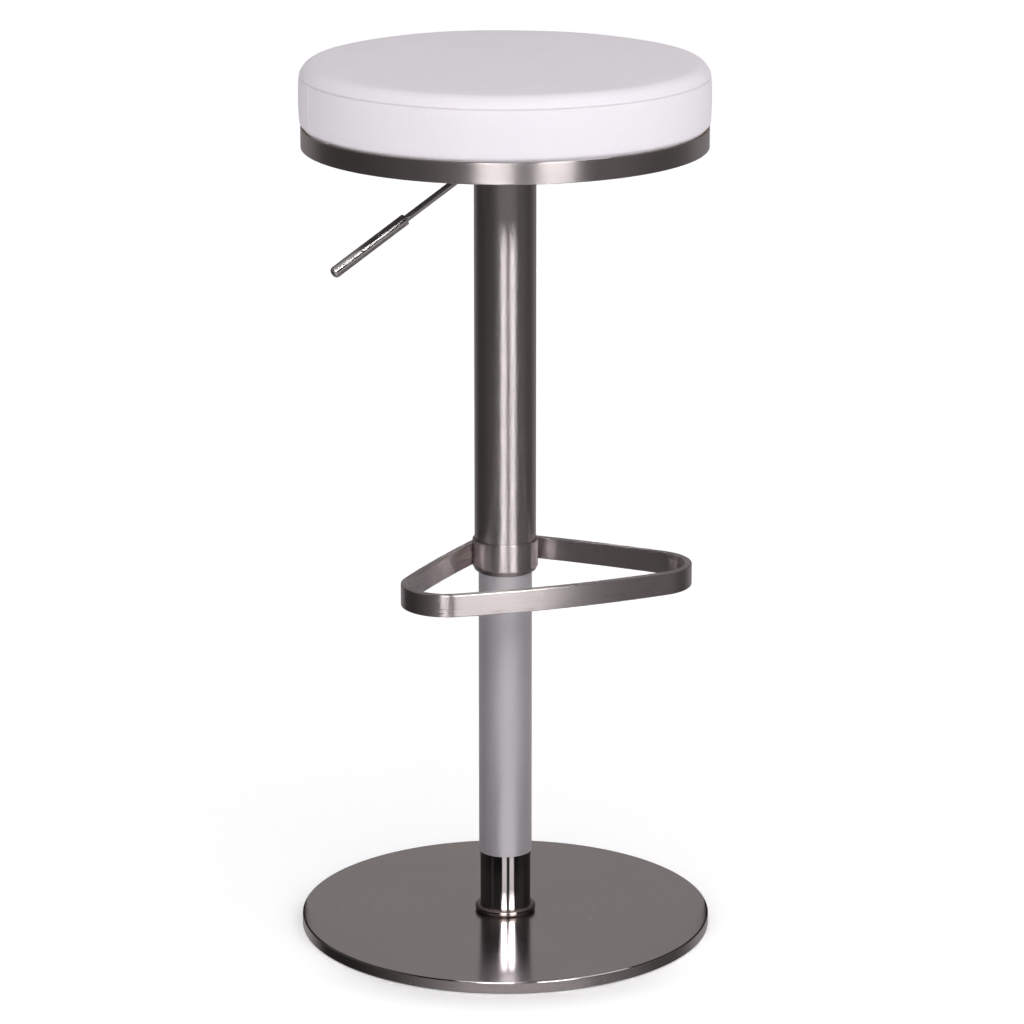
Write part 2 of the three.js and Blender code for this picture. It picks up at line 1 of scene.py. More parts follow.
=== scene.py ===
# Adjustable swivel stool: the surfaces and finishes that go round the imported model.
# Metres, +Z up. The footrest faces -Y and the release lever points to -X.
import math
import bpy
import numpy as np
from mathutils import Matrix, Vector


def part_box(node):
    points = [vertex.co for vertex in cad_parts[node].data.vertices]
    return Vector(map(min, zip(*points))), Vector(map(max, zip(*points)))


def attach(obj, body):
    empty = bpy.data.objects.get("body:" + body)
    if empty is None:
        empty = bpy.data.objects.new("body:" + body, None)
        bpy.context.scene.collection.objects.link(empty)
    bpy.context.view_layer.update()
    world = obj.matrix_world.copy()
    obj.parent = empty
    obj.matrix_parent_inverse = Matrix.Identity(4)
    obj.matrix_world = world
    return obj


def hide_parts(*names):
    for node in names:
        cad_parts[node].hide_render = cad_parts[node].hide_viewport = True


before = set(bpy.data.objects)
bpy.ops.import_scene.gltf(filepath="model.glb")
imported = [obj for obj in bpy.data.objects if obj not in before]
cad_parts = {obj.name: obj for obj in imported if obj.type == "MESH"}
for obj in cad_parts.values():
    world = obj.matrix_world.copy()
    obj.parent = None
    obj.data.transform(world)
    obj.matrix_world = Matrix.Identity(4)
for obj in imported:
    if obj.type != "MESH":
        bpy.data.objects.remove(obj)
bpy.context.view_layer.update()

scene = bpy.context.scene
scene.view_settings.view_transform = "Standard"
fullTurn = 2 * math.pi
mm = 0.001


def boxOf(node):
    low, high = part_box(node)
    return np.array(low), np.array(high)


def readPoints(mesh):
    flat = np.empty(len(mesh.vertices) * 3, np.float32)
    mesh.vertices.foreach_get("co", flat)
    return flat.reshape(-1, 3)


def writePoints(mesh, points):
    mesh.vertices.foreach_set("co", np.asarray(points, np.float32).ravel())
    mesh.update()


# The attribute holds rubbed edges on metal, and painted seam shade with some dirt on the cushion.
def writeWearAndShade(mesh, values):
    mesh.attributes["wearAndSeamShade"].data.foreach_set("value", values.astype(np.float32))


# The four corners of every cell of a grid: this one, the next column's, the one across and the next row's.
def cellCorners(table):
    return [table[:-1, :-1], table[:-1, 1:], table[1:, 1:], table[1:, :-1]]


# Puts quads and triangles, with a map corner for each of their corners, into a new mesh object.
def layMesh(name, points, faces, maps, wear=None, sharpAngle=None):
    mesh = bpy.data.meshes.new(name)
    corners = np.concatenate([face.ravel() for face in faces])
    sizes = np.concatenate([np.full(len(face), face.shape[1]) for face in faces])
    mesh.vertices.add(len(points))
    mesh.vertices.foreach_set("co", np.asarray(points, np.float32).ravel())
    mesh.loops.add(len(corners))
    mesh.loops.foreach_set("vertex_index", corners.astype(np.int32))
    mesh.polygons.add(len(sizes))
    mesh.polygons.foreach_set("loop_start", (np.cumsum(sizes) - sizes).astype(np.int32))
    mesh.update(calc_edges=True)
    grain = mesh.uv_layers.new(name="grainMap")
    flat = np.concatenate([part.reshape(-1, 2) for part in maps])
    grain.data.foreach_set("uv", flat.astype(np.float32).ravel())
    if wear is not None:
        edge = mesh.attributes.new("wearAndSeamShade", "FLOAT", "POINT")
        edge.data.foreach_set("value", np.asarray(wear, np.float32))
    mesh.validate()
    mesh.shade_smooth()
    if sharpAngle:
        mesh.set_sharp_from_angle(angle=math.radians(sharpAngle))
    made = bpy.data.objects.new(name, mesh)
    scene.collection.objects.link(made)
    return made


# Joins a grid of points into a skin. Columns go round and close on themselves; rows close on the first one
# if loop is set, or end in a single point at each end that ends gives.
def skin(name, grid, u, v, wear=None, loop=False, ends=(None, None)):
    rows, columns = grid.shape[:2]
    index = np.arange(rows * columns).reshape(rows, columns)
    index = np.hstack((index, index[:, :1]))
    if loop:
        index = np.vstack((index, index[:1]))
    around = np.broadcast_to(u, (len(v), len(u)))
    along = np.broadcast_to(np.asarray(v)[:, None], (len(v), len(u)))
    place = np.stack((around, along), axis=-1)
    points = [grid.reshape(-1, 3)]
    faces = [np.stack(cellCorners(index), axis=2).reshape(-1, 4)]
    maps = [np.stack(cellCorners(place), axis=2).reshape(-1, 2)]
    edges = [np.repeat(wear if wear is not None else np.zeros(rows), columns)]
    count = rows * columns
    for end, row, first, second in ((ends[0], 0, 1, 0), (ends[1], -1, 0, 1)):
        if end is None:
            continue
        ring = index[row]
        shift = [slice(1, None), slice(None, -1)]
        pair = (ring[shift[1 - first]], ring[shift[1 - second]])
        faces.append(np.stack((np.full(columns, count), *pair), axis=1))
        middle = (place[row, 1:] + place[row, :-1]) / 2
        pairMap = (place[row][shift[1 - first]], place[row][shift[1 - second]])
        maps.append(np.stack((middle, *pairMap), axis=1).reshape(-1, 2))
        points.append(np.array(end, float).reshape(1, 3))
        edges.append(np.zeros(1))
        count += 1
    return layMesh(name, np.vstack(points), faces, maps, np.concatenate(edges))


# Rounds the corners of a line of (radius, height, fillet). A corner becomes the arc that touches both
# sides, between two points on the sides that keep the flats flat. Gives points and how worn each is.
def softLine(corners, closed, steps=6, hold=1.2 * mm):
    points, wear = [], []
    for number, (radius, height, fillet) in enumerate(corners):
        here = np.array((radius, height), float)
        if not fillet or (not closed and number in (0, len(corners) - 1)):
            points.append(here[None])
            wear.append(np.zeros(1))
            continue
        before = np.array(corners[number - 1][:2]) - here
        after = np.array(corners[(number + 1) % len(corners)][:2]) - here
        lengths = np.linalg.norm(before), np.linalg.norm(after)
        before, after = before / lengths[0], after / lengths[1]
        half = math.acos(np.clip(before @ after, -1, 1)) / 2
        cut = fillet / math.tan(half)
        bisector = (before + after) / np.linalg.norm(before + after)
        centre = here + bisector * fillet / math.sin(half)
        turn = math.pi - 2 * half
        share = np.linspace(0, 1, steps + 1)[:, None]
        first, last = here + before * cut - centre, here + after * cut - centre
        arc = centre + (np.sin((1 - share) * turn) * first + np.sin(share * turn) * last) / math.sin(turn)
        holds = [min(hold, 0.4 * max(length - cut, 0)) for length in lengths]
        points += [(here + before * (cut + holds[0]))[None], arc, (here + after * (cut + holds[1]))[None]]
        wear += [np.zeros(1), np.sin(share[:, 0] * math.pi) ** 0.5, np.zeros(1)]
    return np.vstack(points), np.concatenate(wear)


def lengthsAlong(line):
    return np.concatenate(([0], np.cumsum(np.linalg.norm(np.diff(line, axis=0), axis=1))))


# A body turned about Z: x is radius times the cosine of the angle, y is radius times its sine.
# A closed line is a ring; an open one starts and ends on the axis, where its ends are single points.
def turnedPiece(name, corners, closed=True, turns=256, steps=6, hold=1.2 * mm):
    line, wear = softLine(corners, closed, steps, hold)
    ends = (None, None)
    if closed:
        v = lengthsAlong(np.vstack((line, line[:1])))
    else:
        ends = ((0, 0, line[0, 1]), (0, 0, line[-1, 1]))
        line, wear = line[1:-1], wear[1:-1]
        v = lengthsAlong(line)
    angle = np.arange(turns) / turns * fullTurn + math.pi / 2
    radius, height = line[:, :1], line[:, 1:]
    grid = np.stack((radius * np.cos(angle), radius * np.sin(angle), height + 0 * angle), axis=-1)
    u = np.arange(turns + 1) / turns * fullTurn * line[:, 0].max()
    return skin(name, grid, u, v, wear, loop=closed, ends=ends)


# Gives a finished piece its body and its material, and hides the nodes that it stands for; its slot name is
# not used.
def settle(piece, body, slotName, material, *replaced):
    piece.data.materials.clear()
    piece.data.materials.append(material)
    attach(piece, body)
    if replaced:
        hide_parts(*replaced)
    return piece


# Each input is joined to a socket, or set to a plain value.
def giveInputs(tree, made, inputs):
    for key, value in inputs.items():
        if isinstance(value, bpy.types.NodeSocket):
            tree.links.new(value, made.inputs[key])
        else:
            made.inputs[key].default_value = value


def addNode(tree, kind, inputs=None, **settings):
    made = tree.nodes.new(kind)
    for key, value in settings.items():
        setattr(made, key, value)
    giveInputs(tree, made, inputs or {})
    return made


def maths(tree, operation, *values, clamp=False):
    made = addNode(tree, "ShaderNodeMath", dict(enumerate(values)), operation=operation, use_clamp=clamp)
    return made.outputs[0]


def times(tree, first, second):
    return maths(tree, "MULTIPLY", first, second)


def plus(tree, first, second):
    return maths(tree, "ADD", first, second)


def vectorMaths(tree, operation, *values, output=0):
    made = addNode(tree, "ShaderNodeVectorMath", dict(enumerate(values)), operation=operation)
    return made.outputs[output]


def scaled(tree, vector, factor):
    return addNode(tree, "ShaderNodeVectorMath", {0: vector, "Scale": factor}, operation="SCALE").outputs[0]


def joinXyz(tree, *values):
    return addNode(tree, "ShaderNodeCombineXYZ", dict(enumerate(values))).outputs[0]


def splitXyz(tree, vector):
    return addNode(tree, "ShaderNodeSeparateXYZ", {0: vector}).outputs[:3]


def noise(tree, vector, scale=1.0, detail=2.0, roughness=0.5):
    inputs = {"Vector": vector, "Scale": scale, "Detail": detail, "Roughness": roughness}
    return addNode(tree, "ShaderNodeTexNoise", inputs).outputs[0]


def ranged(tree, value, fromLow, fromHigh, toLow, toHigh, smooth=False):
    inputs = {0: value, 1: fromLow, 2: fromHigh, 3: toLow, 4: toHigh}
    kind = "SMOOTHSTEP" if smooth else "LINEAR"
    return addNode(tree, "ShaderNodeMapRange", inputs, interpolation_type=kind).outputs[0]


# Noise lies mostly between 0.3 and 0.7, so that stretch is what gets spread over the new range.
def spread(tree, value, toLow, toHigh):
    return ranged(tree, value, 0.3, 0.7, toLow, toHigh)


def swing(tree, value, middle, reach):
    return spread(tree, value, middle - reach, middle + reach)


# Colours are given as three numbers or as a socket.
def blendColour(tree, factor, first, second, mode="MIX"):
    ends = [(*end, 1) if isinstance(end, tuple) else end for end in (first, second)]
    inputs = {0: factor, 6: ends[0], 7: ends[1]}
    return addNode(tree, "ShaderNodeMix", inputs, data_type="RGBA", blend_type=mode).outputs[2]


# Reads rubbed edges on metal, and painted seam shade with some dirt on the cushion.
def wearAndShadeOf(tree):
    return addNode(tree, "ShaderNodeAttribute", attribute_name="wearAndSeamShade").outputs["Fac"]


def ownMap(tree):
    return splitXyz(tree, addNode(tree, "ShaderNodeUVMap", uv_map="grainMap").outputs[0])[:2]


# A new material with its shader, and the piece's own coordinates to draw patterns with.
def startMaterial(name):
    material = bpy.data.materials.new(name)
    material.use_nodes = True
    tree = material.node_tree
    tree.nodes.clear()
    shader = addNode(tree, "ShaderNodeBsdfPrincipled")
    addNode(tree, "ShaderNodeOutputMaterial", {0: shader.outputs[0]})
    where = addNode(tree, "ShaderNodeTexCoord").outputs["Object"]
    return material, tree, shader, where


def addBump(tree, shader, height, distance):
    bump = addNode(tree, "ShaderNodeBump", {"Height": height, "Distance": distance, "Strength": 1.0})
    giveInputs(tree, shader, {"Normal": bump.outputs[0]})


# Brightness that varies with fine marks and slow clouds, and is higher where edges are rubbed.
def markedTone(tree, marks, depth, cloud, worn, look):
    tone = times(tree, swing(tree, marks, 1, depth), swing(tree, cloud, 1, look["cloud"]))
    return times(tree, tone, ranged(tree, worn, 0, 1, 1, 1 + look["edgeShine"]))


# Close to the weld a patchy stretch is ground lighter, with a few dark pits in it.
def weldTone(tree, where, slow, look):
    near = maths(tree, "ABSOLUTE", maths(tree, "SUBTRACT", slow, look["weldAt"]))
    near = ranged(tree, near, *look["weldReach"], 1, 0, smooth=True)
    patch = ranged(tree, noise(tree, where, look["weldPatches"], 3.0, 0.6), 0.42, 0.6, 0, 1)
    pits = ranged(tree, noise(tree, where, look["weldPits"], 1.0), 0.72, 0.75, 0, 1)
    lighter = ranged(tree, times(tree, near, patch), 0, 1, 1, 1.1)
    return times(tree, lighter, ranged(tree, times(tree, near, pits), 0, 1, 1, 0.45))


# Brushed or ground metal. Fine lines run round the axis on turned pieces, and along the bar on others;
# gloss spreads across the lines. Rounded edges are rubbed lighter and smoother.
def brushedMetal(name, look):
    material, tree, shader, where = startMaterial(name)
    if look["turned"]:
        x, y, z = splitXyz(tree, where)
        axisDistance = maths(tree, "SQRT", plus(tree, times(tree, x, x), times(tree, y, y)))
        slow = plus(tree, x, times(tree, y, 0.7))
        across = plus(tree, axisDistance, z)
    else:
        across, slow = ownMap(tree)
        z = across

    def lines(fine, stretch, shift):
        vector = joinXyz(tree, times(tree, across, fine), times(tree, z, fine * 0.37),
                         times(tree, slow, stretch))
        return noise(tree, vectorMaths(tree, "ADD", vector, (shift, shift, shift)), 1.0, 2.0, 0.6)

    hair = lines(look["fine"], look["slow"], 0.0)
    coarse = lines(look["fine"] * 0.22, look["slow"] * 0.5, 7.3)
    cloud = noise(tree, where, look["cloudScale"])
    grain = plus(tree, times(tree, hair, 0.6), times(tree, coarse, 0.4))
    worn = wearAndShadeOf(tree)
    tone = markedTone(tree, grain, look["streak"], cloud, worn, look)
    if "weldAt" in look:
        tone = times(tree, tone, weldTone(tree, where, slow, look))
    rough = swing(tree, grain, look["roughness"], look["roughSpread"])
    rough = plus(tree, rough, swing(tree, cloud, 0, 0.02))
    rough = maths(tree, "SUBTRACT", rough, times(tree, worn, 0.06), clamp=True)
    tangent = addNode(tree, "ShaderNodeTangent", direction_type="UV_MAP", uv_map="grainMap")
    giveInputs(tree, shader, {"Base Color": scaled(tree, look["tint"], tone), "Roughness": rough,
                              "Metallic": 1.0, "Anisotropic": look["anisotropy"],
                              "Anisotropic Rotation": 0.25 if look["turned"] else 0.0,
                              "Tangent": tangent.outputs[0]})
    addBump(tree, shader, grain, look["bump"])
    return material


# Smooth hard stuff with a little unevenness: chrome, plastic, rubber, paint and plain machined steel.
def plainFinish(name, look):
    material, tree, shader, where = startMaterial(name)
    spots = noise(tree, where, look["fine"], 3.0, 0.6)
    cloud = noise(tree, where, look["cloudScale"])
    tone = markedTone(tree, spots, look["speckle"], cloud, wearAndShadeOf(tree), look)
    rough = swing(tree, spots, look["roughness"], look["roughSpread"])
    rough = maths(tree, "ADD", rough, spread(tree, cloud, 0, look["roughSpread"]), clamp=True)
    giveInputs(tree, shader, {"Base Color": scaled(tree, look["tint"], tone), "Roughness": rough,
                              "Metallic": look["metallic"]})
    addBump(tree, shader, spots, look["bump"])
    return material


# Birch plywood: long grain on the faces, and the plies as bands in its height.
def plywoodFinish(name, look):
    material, tree, shader, where = startMaterial(name)
    x, y, z = splitXyz(tree, where)
    stretched = joinXyz(tree, times(tree, x, look["along"]), times(tree, y, look["across"]),
                        times(tree, z, look["upward"]))
    face = noise(tree, stretched, 1.0, 4.0, 0.6)
    plies = maths(tree, "PINGPONG", times(tree, z, 1 / look["ply"]), 1.0)
    board = blendColour(tree, spread(tree, face, 0, 1), look["light"], look["dark"])
    board = blendColour(tree, ranged(tree, plies, 0.35, 0.65, 0, 0.45), board, look["glueLine"])
    giveInputs(tree, shader, {"Base Color": board, "Roughness": spread(tree, face, 0.62, 0.8)})
    addBump(tree, shader, face, look["bump"])
    return material


# Felt and foam: short fibres or open cells, which take the light softly.
def softFinish(name, look):
    material, tree, shader, where = startMaterial(name)
    cells = addNode(tree, "ShaderNodeTexVoronoi", {"Vector": where, "Scale": look["cells"]})
    fibres = noise(tree, where, look["fine"], 4.0, 0.65)
    mixed = plus(tree, times(tree, cells.outputs[0], 0.5), times(tree, fibres, 0.5))
    dark = tuple(part * 0.72 for part in look["tint"])
    giveInputs(tree, shader, {"Base Color": blendColour(tree, ranged(tree, mixed, 0.2, 0.7, 0, 1), dark,
                                                        look["tint"]),
                              "Roughness": spread(tree, fibres, 0.86, 0.98),
                              "Sheen Weight": look["sheen"], "Sheen Roughness": 0.5})
    addBump(tree, shader, mixed, look["bump"])
    return material


# White faux leather: pebbles of grain with pores between them, a faint cloudiness, painted shade in the lines
# between the pebbles, and painted shade with some dirt in the seams.
def fauxLeather(name, look):
    material, tree, shader, where = startMaterial(name)
    wobble = addNode(tree, "ShaderNodeTexNoise", {"Vector": where, "Scale": look["wobbles"]}).outputs["Color"]
    bent = vectorMaths(tree, "ADD", where, scaled(tree, wobble, look["wobble"]))
    pebble = addNode(tree, "ShaderNodeTexVoronoi", {"Vector": bent, "Scale": look["pebbles"]},
                     feature="DISTANCE_TO_EDGE").outputs["Distance"]
    pebble = ranged(tree, pebble, 0.0, 0.22, 0, 1, smooth=True)
    pores = noise(tree, where, look["pores"], 2.0, 0.6)
    cloud = noise(tree, where, look["clouds"])
    tone = blendColour(tree, spread(tree, cloud, 0, 1), look["tint"], look["cool"])
    # Painted shade: the lines between the pebbles are a little darker.
    tone = blendColour(tree, ranged(tree, pebble, 0, 1, 0.10, 0), tone, look["valleyShade"])
    # Painted shade, with some dirt: the seam grooves and the side seam's rows are darker.
    tone = blendColour(tree, times(tree, wearAndShadeOf(tree), look["seamShadeAndDirt"]), tone, look["valleyShade"])
    rough = plus(tree, ranged(tree, pebble, 0, 1, look["roughness"] + 0.12, look["roughness"]),
                 swing(tree, pores, 0, 0.04))
    giveInputs(tree, shader, {"Base Color": tone, "Roughness": rough, "Sheen Weight": 0.06,
                              "Sheen Roughness": 0.4, "Specular IOR Level": 0.42})
    addBump(tree, shader, plus(tree, times(tree, pebble, 0.7), times(tree, pores, 0.3)), look["bump"])
    return material


# Sewing thread: two plies that twist round each other, from the thread's own map.
def threadFinish(name, look):
    material, tree, shader, where = startMaterial(name)
    u, v = ownMap(tree)
    twist = maths(tree, "SINE", plus(tree, times(tree, v, look["twist"]), times(tree, u, fullTurn * 2)))
    fibres = noise(tree, where, look["fibres"], 2.0, 0.6)
    tone = blendColour(tree, ranged(tree, twist, -1, 1, 0, 1), look["shade"], look["tint"])
    giveInputs(tree, shader, {"Base Color": tone, "Roughness": spread(tree, fibres, 0.5, 0.75)})
    addBump(tree, shader, twist, look["bump"])
    return material


# Every metal starts from the plain brushed steel and says what differs.
brushed = {"tint": (0.60, 0.545, 0.545), "roughSpread": 0.03, "anisotropy": 1.0, "fine": 1500.0, "slow": 9.0,
           "streak": 0.04, "cloud": 0.02, "cloudScale": 14.0, "turned": True}
metals = {
    "turnedSteel": {**brushed, "roughness": 0.36, "roughSpread": 0.04, "anisotropy": 0.96, "streak": 0.05,
                    "edgeShine": 0.12, "bump": 0.000004},
    "coverSteel": {**brushed, "tint": (0.62, 0.565, 0.565), "roughness": 0.19, "roughSpread": 0.02,
                   "anisotropy": 0.75, "fine": 1300.0, "slow": 7.0, "cloudScale": 9.0, "edgeShine": 0.06,
                   "bump": 0.0000008},
    "bandSteel": {**brushed, "roughness": 0.31, "edgeShine": 0.10, "bump": 0.000003},
    "footrestSteel": {**brushed, "roughness": 0.30, "fine": 1600.0, "slow": 11.0, "streak": 0.06,
                      "cloud": 0.04, "cloudScale": 22.0, "edgeShine": 0.14, "bump": 0.000005, "turned": False,
                      "weldAt": -0.026, "weldReach": (0.002, 0.007), "weldPatches": 160.0, "weldPits": 700.0},
    "ringSteel": {**brushed, "tint": (0.36, 0.31, 0.29), "roughness": 0.22, "anisotropy": 0.4,
                  "fine": 1800.0, "cloudScale": 30.0, "edgeShine": 0.0, "bump": 0.000001},
}
bright = {"metallic": 1.0, "fine": 900.0}
dull = {"metallic": 0.0, "fine": 1500.0}
finishes = {
    "chrome": {**bright, "tint": (0.76, 0.73, 0.73), "roughness": 0.045, "roughSpread": 0.012,
               "speckle": 0.01, "cloud": 0.015, "cloudScale": 12.0, "edgeShine": 0.02, "bump": 0.0000005},
    "lever_chrome": {**bright, "tint": (0.74, 0.71, 0.71), "roughness": 0.17, "roughSpread": 0.02,
                     "speckle": 0.02, "cloud": 0.02, "cloudScale": 30.0, "edgeShine": 0.05, "bump": 0.000001},
    "matt_silver": {**bright, "tint": (0.70, 0.67, 0.70), "roughness": 0.43, "roughSpread": 0.04,
                    "metallic": 0.72, "fine": 2200.0, "speckle": 0.03, "cloud": 0.015, "cloudScale": 10.0,
                    "edgeShine": 0.08, "bump": 0.000006},
    "plain_steel": {**bright, "tint": (0.42, 0.42, 0.43), "roughness": 0.42, "roughSpread": 0.08,
                    "fine": 1200.0, "speckle": 0.08, "cloud": 0.08, "cloudScale": 60.0, "edgeShine": 0.2,
                    "bump": 0.00001},
    "black_steel": {**dull, "tint": (0.035, 0.034, 0.036), "roughness": 0.5, "roughSpread": 0.07,
                    "fine": 900.0, "speckle": 0.12, "cloud": 0.1, "cloudScale": 25.0, "edgeShine": 1.2,
                    "bump": 0.00003},
    "rubber": {**dull, "tint": (0.022, 0.022, 0.023), "roughness": 0.78, "roughSpread": 0.08, "fine": 1400.0,
               "speckle": 0.15, "cloud": 0.12, "cloudScale": 40.0, "edgeShine": 0.5, "bump": 0.00004},
    "nylon": {**dull, "tint": (0.72, 0.70, 0.65), "roughness": 0.5, "roughSpread": 0.06, "speckle": 0.03,
              "cloud": 0.04, "cloudScale": 50.0, "edgeShine": 0.05, "bump": 0.00001},
}
softGoods = {
    "felt": {"tint": (0.045, 0.044, 0.047), "cells": 900.0, "fine": 2600.0, "sheen": 0.25, "bump": 0.00025},
    "foam": {"tint": (0.82, 0.74, 0.52), "cells": 1300.0, "fine": 1800.0, "sheen": 0.1, "bump": 0.0003},
}
plywoodLook = {"along": 6.0, "across": 160.0, "upward": 40.0, "ply": 0.0015, "light": (0.62, 0.45, 0.27),
               "dark": (0.44, 0.29, 0.15), "glueLine": (0.30, 0.18, 0.09), "bump": 0.00015}
# The darker colour is painted shade for the lines between the pebbles and, with some dirt, for the seams.
leatherLook = {"tint": (0.845, 0.815, 0.85), "cool": (0.825, 0.80, 0.84), "valleyShade": (0.52, 0.48, 0.52),
               "pebbles": 1150.0, "pores": 3200.0, "clouds": 11.0, "wobbles": 420.0, "wobble": 0.0007,
               "roughness": 0.46, "seamShadeAndDirt": 0.5, "bump": 0.00006}
threadLook = {"tint": (0.86, 0.83, 0.86), "shade": (0.60, 0.56, 0.60), "twist": 5200.0, "fibres": 4000.0,
              "bump": 0.00008}

steel = {name: brushedMetal(name, look) for name, look in metals.items()}
finish = {name: plainFinish(name, look) for name, look in finishes.items()}
finish.update({name: softFinish(name, look) for name, look in softGoods.items()})
finish["plywood"] = plywoodFinish("plywood", plywoodLook)
finish["faux_leather"] = fauxLeather("faux_leather", leatherLook)
finish["brushed_steel"] = steel["turnedSteel"]
finish["thread"] = threadFinish("thread", threadLook)
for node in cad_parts.values():
    for held in node.material_slots:
        held.material = finish[held.material.name.split(".")[0]]
print("materials made")


# The base's cover is a thin pressed disc with a rim turned down; its profile is turned about Z.
baseShape = {"sheet": 1.2 * mm, "topEdge": 1.6 * mm, "rimEdge": 0.4 * mm, "underEdge": 0.8 * mm,
             "holeEdge": 0.2 * mm, "turns": 384}
low, high = boxOf("base_cover")
coverRadius, coverTop, coverFoot = high[0], high[2], low[2]
columnHole = boxOf("standing_tube")[1][0] + 0.3 * mm
inner = coverRadius - baseShape["sheet"]
under = coverTop - baseShape["sheet"]
baseCover = turnedPiece("stool_base_cover", [
    (columnHole, under, 0), (inner, under, baseShape["underEdge"]), (inner, coverFoot, baseShape["holeEdge"]),
    (coverRadius, coverFoot, baseShape["rimEdge"]), (coverRadius, coverTop, baseShape["topEdge"]),
    (columnHole, coverTop, baseShape["holeEdge"])], turns=baseShape["turns"], steps=8)
settle(baseCover, "base", "brushed_steel", steel["coverSteel"], "base_cover")

# The ring at its foot is a bar of half-round section turned about Z.
low, high = boxOf("column_ring")
half = (high[2] - low[2]) / 2
footRing = turnedPiece("stool_column_ring", [
    (columnHole, low[2], 0), (high[0], low[2], half * 0.96), (high[0], high[2], half * 0.96),
    (columnHole, high[2], 0)], steps=10, hold=0.1 * mm)
settle(footRing, "base", "brushed_steel", steel["ringSteel"], "column_ring")

tubeShape = {"wall": 2 * mm, "edge": 0.5 * mm, "boreEdge": 0.2 * mm}
low, high = boxOf("standing_tube")
bore = high[0] - tubeShape["wall"]
tube = turnedPiece("stool_standing_tube", [
    (bore, low[2], tubeShape["boreEdge"]), (high[0], low[2], tubeShape["edge"]),
    (high[0], high[2], tubeShape["edge"]), (bore, high[2], tubeShape["boreEdge"])], steps=4)
settle(tube, "base", "chrome", finish["chrome"], "standing_tube")

# The sleeve has a fine turned line round it near its foot.
sleeveShape = {"wall": 0.85 * mm, "lineHeight": 0.130, "lineDepth": 0.12 * mm, "lineHalf": 0.35 * mm}
low, high = boxOf("guide_sleeve")
bore = high[0] - sleeveShape["wall"]
lineHeight, lineHalf = sleeveShape["lineHeight"], sleeveShape["lineHalf"]
sleeve = turnedPiece("stool_guide_sleeve", [
    (bore, low[2], 0.1 * mm), (high[0], low[2], 0.35 * mm), (high[0], lineHeight - 3 * lineHalf, 0),
    (high[0], lineHeight - lineHalf, 0), (high[0] - sleeveShape["lineDepth"], lineHeight, 0),
    (high[0], lineHeight + lineHalf, 0), (high[0], lineHeight + 3 * lineHalf, 0),
    (high[0], high[2], 0.3 * mm), (bore, high[2], 0.1 * mm)], steps=4)
settle(sleeve, "base", "matt_silver", finish["matt_silver"], "guide_sleeve")
print("base and column made")


# A tube whose wall is left out where the mask is empty. Outer and inner points share rows and columns;
# every edge of the mask gets a wall between the two.
def slottedTube(name, radii, angles, heights, mask):
    grids = [np.stack((radius * np.cos(turn) + 0 * heights[:, None], radius * np.sin(turn)
                       + 0 * heights[:, None], heights[:, None] + 0 * turn), axis=-1)
             for radius, turn in zip(radii, angles)]
    rows, columns = grids[0].shape[:2]
    outer = np.arange(rows * columns).reshape(rows, columns)
    outer = np.hstack((outer, outer[:, :1]))
    within = outer + rows * columns
    o, w = cellCorners(outer), cellCorners(within)
    padded = np.pad(mask, ((1, 1), (0, 0)))
    walls = [(mask, (o[0], o[1], o[2], o[3])), (mask, (w[0], w[3], w[2], w[1])),
             (mask & ~padded[:-2], (o[0], w[0], w[1], o[1])), (mask & ~padded[2:], (o[3], o[2], w[2], w[3])),
             (mask & ~np.roll(mask, 1, axis=1), (o[0], o[3], w[3], w[0])),
             (mask & ~np.roll(mask, -1, axis=1), (o[1], w[1], w[2], o[2]))]
    quads = np.vstack([np.stack(corners, axis=-1)[where] for where, corners in walls])
    points = np.vstack([grid.reshape(-1, 3) for grid in grids])
    around = np.broadcast_to(np.append(angles[0], angles[0][0] + fullTurn) * radii[0], outer.shape)
    along = np.broadcast_to(heights[:, None], outer.shape)
    place = np.stack((around, along), axis=-1)
    p = cellCorners(place)
    order = [(0, 1, 2, 3), (0, 3, 2, 1), (0, 0, 1, 1), (3, 2, 2, 3), (0, 3, 3, 0), (1, 1, 2, 2)]
    maps = [np.stack([p[i] for i in turn], axis=2)[where].reshape(-1, 2)
            for turn, (where, corners) in zip(order, walls)]
    used, quads = np.unique(quads, return_inverse=True)
    return layMesh(name, points[used], [quads.reshape(-1, 4)], maps, sharpAngle=35)


# The post has one slot in its wall, at -X, that the lever comes out of: its columns lie closer there.
postShape = {"wall": 2 * mm, "slotWidth": 8 * mm, "slotMargin": 4 * mm, "edge": 0.3 * mm, "turns": 249,
             "slotTurns": 9, "rowsBelow": 24, "rowsAbove": 4}
low, high = boxOf("seat_post")
armLow, armHigh = boxOf("lever_arm")
postRadius, postTop = high[0], high[2]
slotBottom, slotTop = armLow[2] - postShape["slotMargin"], armHigh[2] + postShape["slotMargin"]
heights = np.concatenate((np.linspace(low[2], slotBottom, postShape["rowsBelow"]),
                          np.linspace(slotTop, postTop, postShape["rowsAbove"])))
radii = (postRadius, postRadius - postShape["wall"])
angles = []
for radius in radii:
    halfSlot = math.asin(postShape["slotWidth"] / 2 / radius)
    across = math.pi + np.linspace(-halfSlot, halfSlot, postShape["slotTurns"])
    rest = np.linspace(math.pi + halfSlot, 3 * math.pi - halfSlot, postShape["turns"])[1:-1]
    angles.append(np.concatenate((across, rest)))
solid = np.ones((len(heights) - 1, len(angles[0])), bool)
solid[postShape["rowsBelow"] - 1, :postShape["slotTurns"] - 1] = False
post = slottedTube("stool_seat_post", radii, angles, heights, solid)
rim = post.modifiers.new("edges", "BEVEL")
rim.width, rim.segments, rim.limit_method = postShape["edge"], 2, "ANGLE"
settle(post, "carrier", "brushed_steel", steel["turnedSteel"], "seat_post")

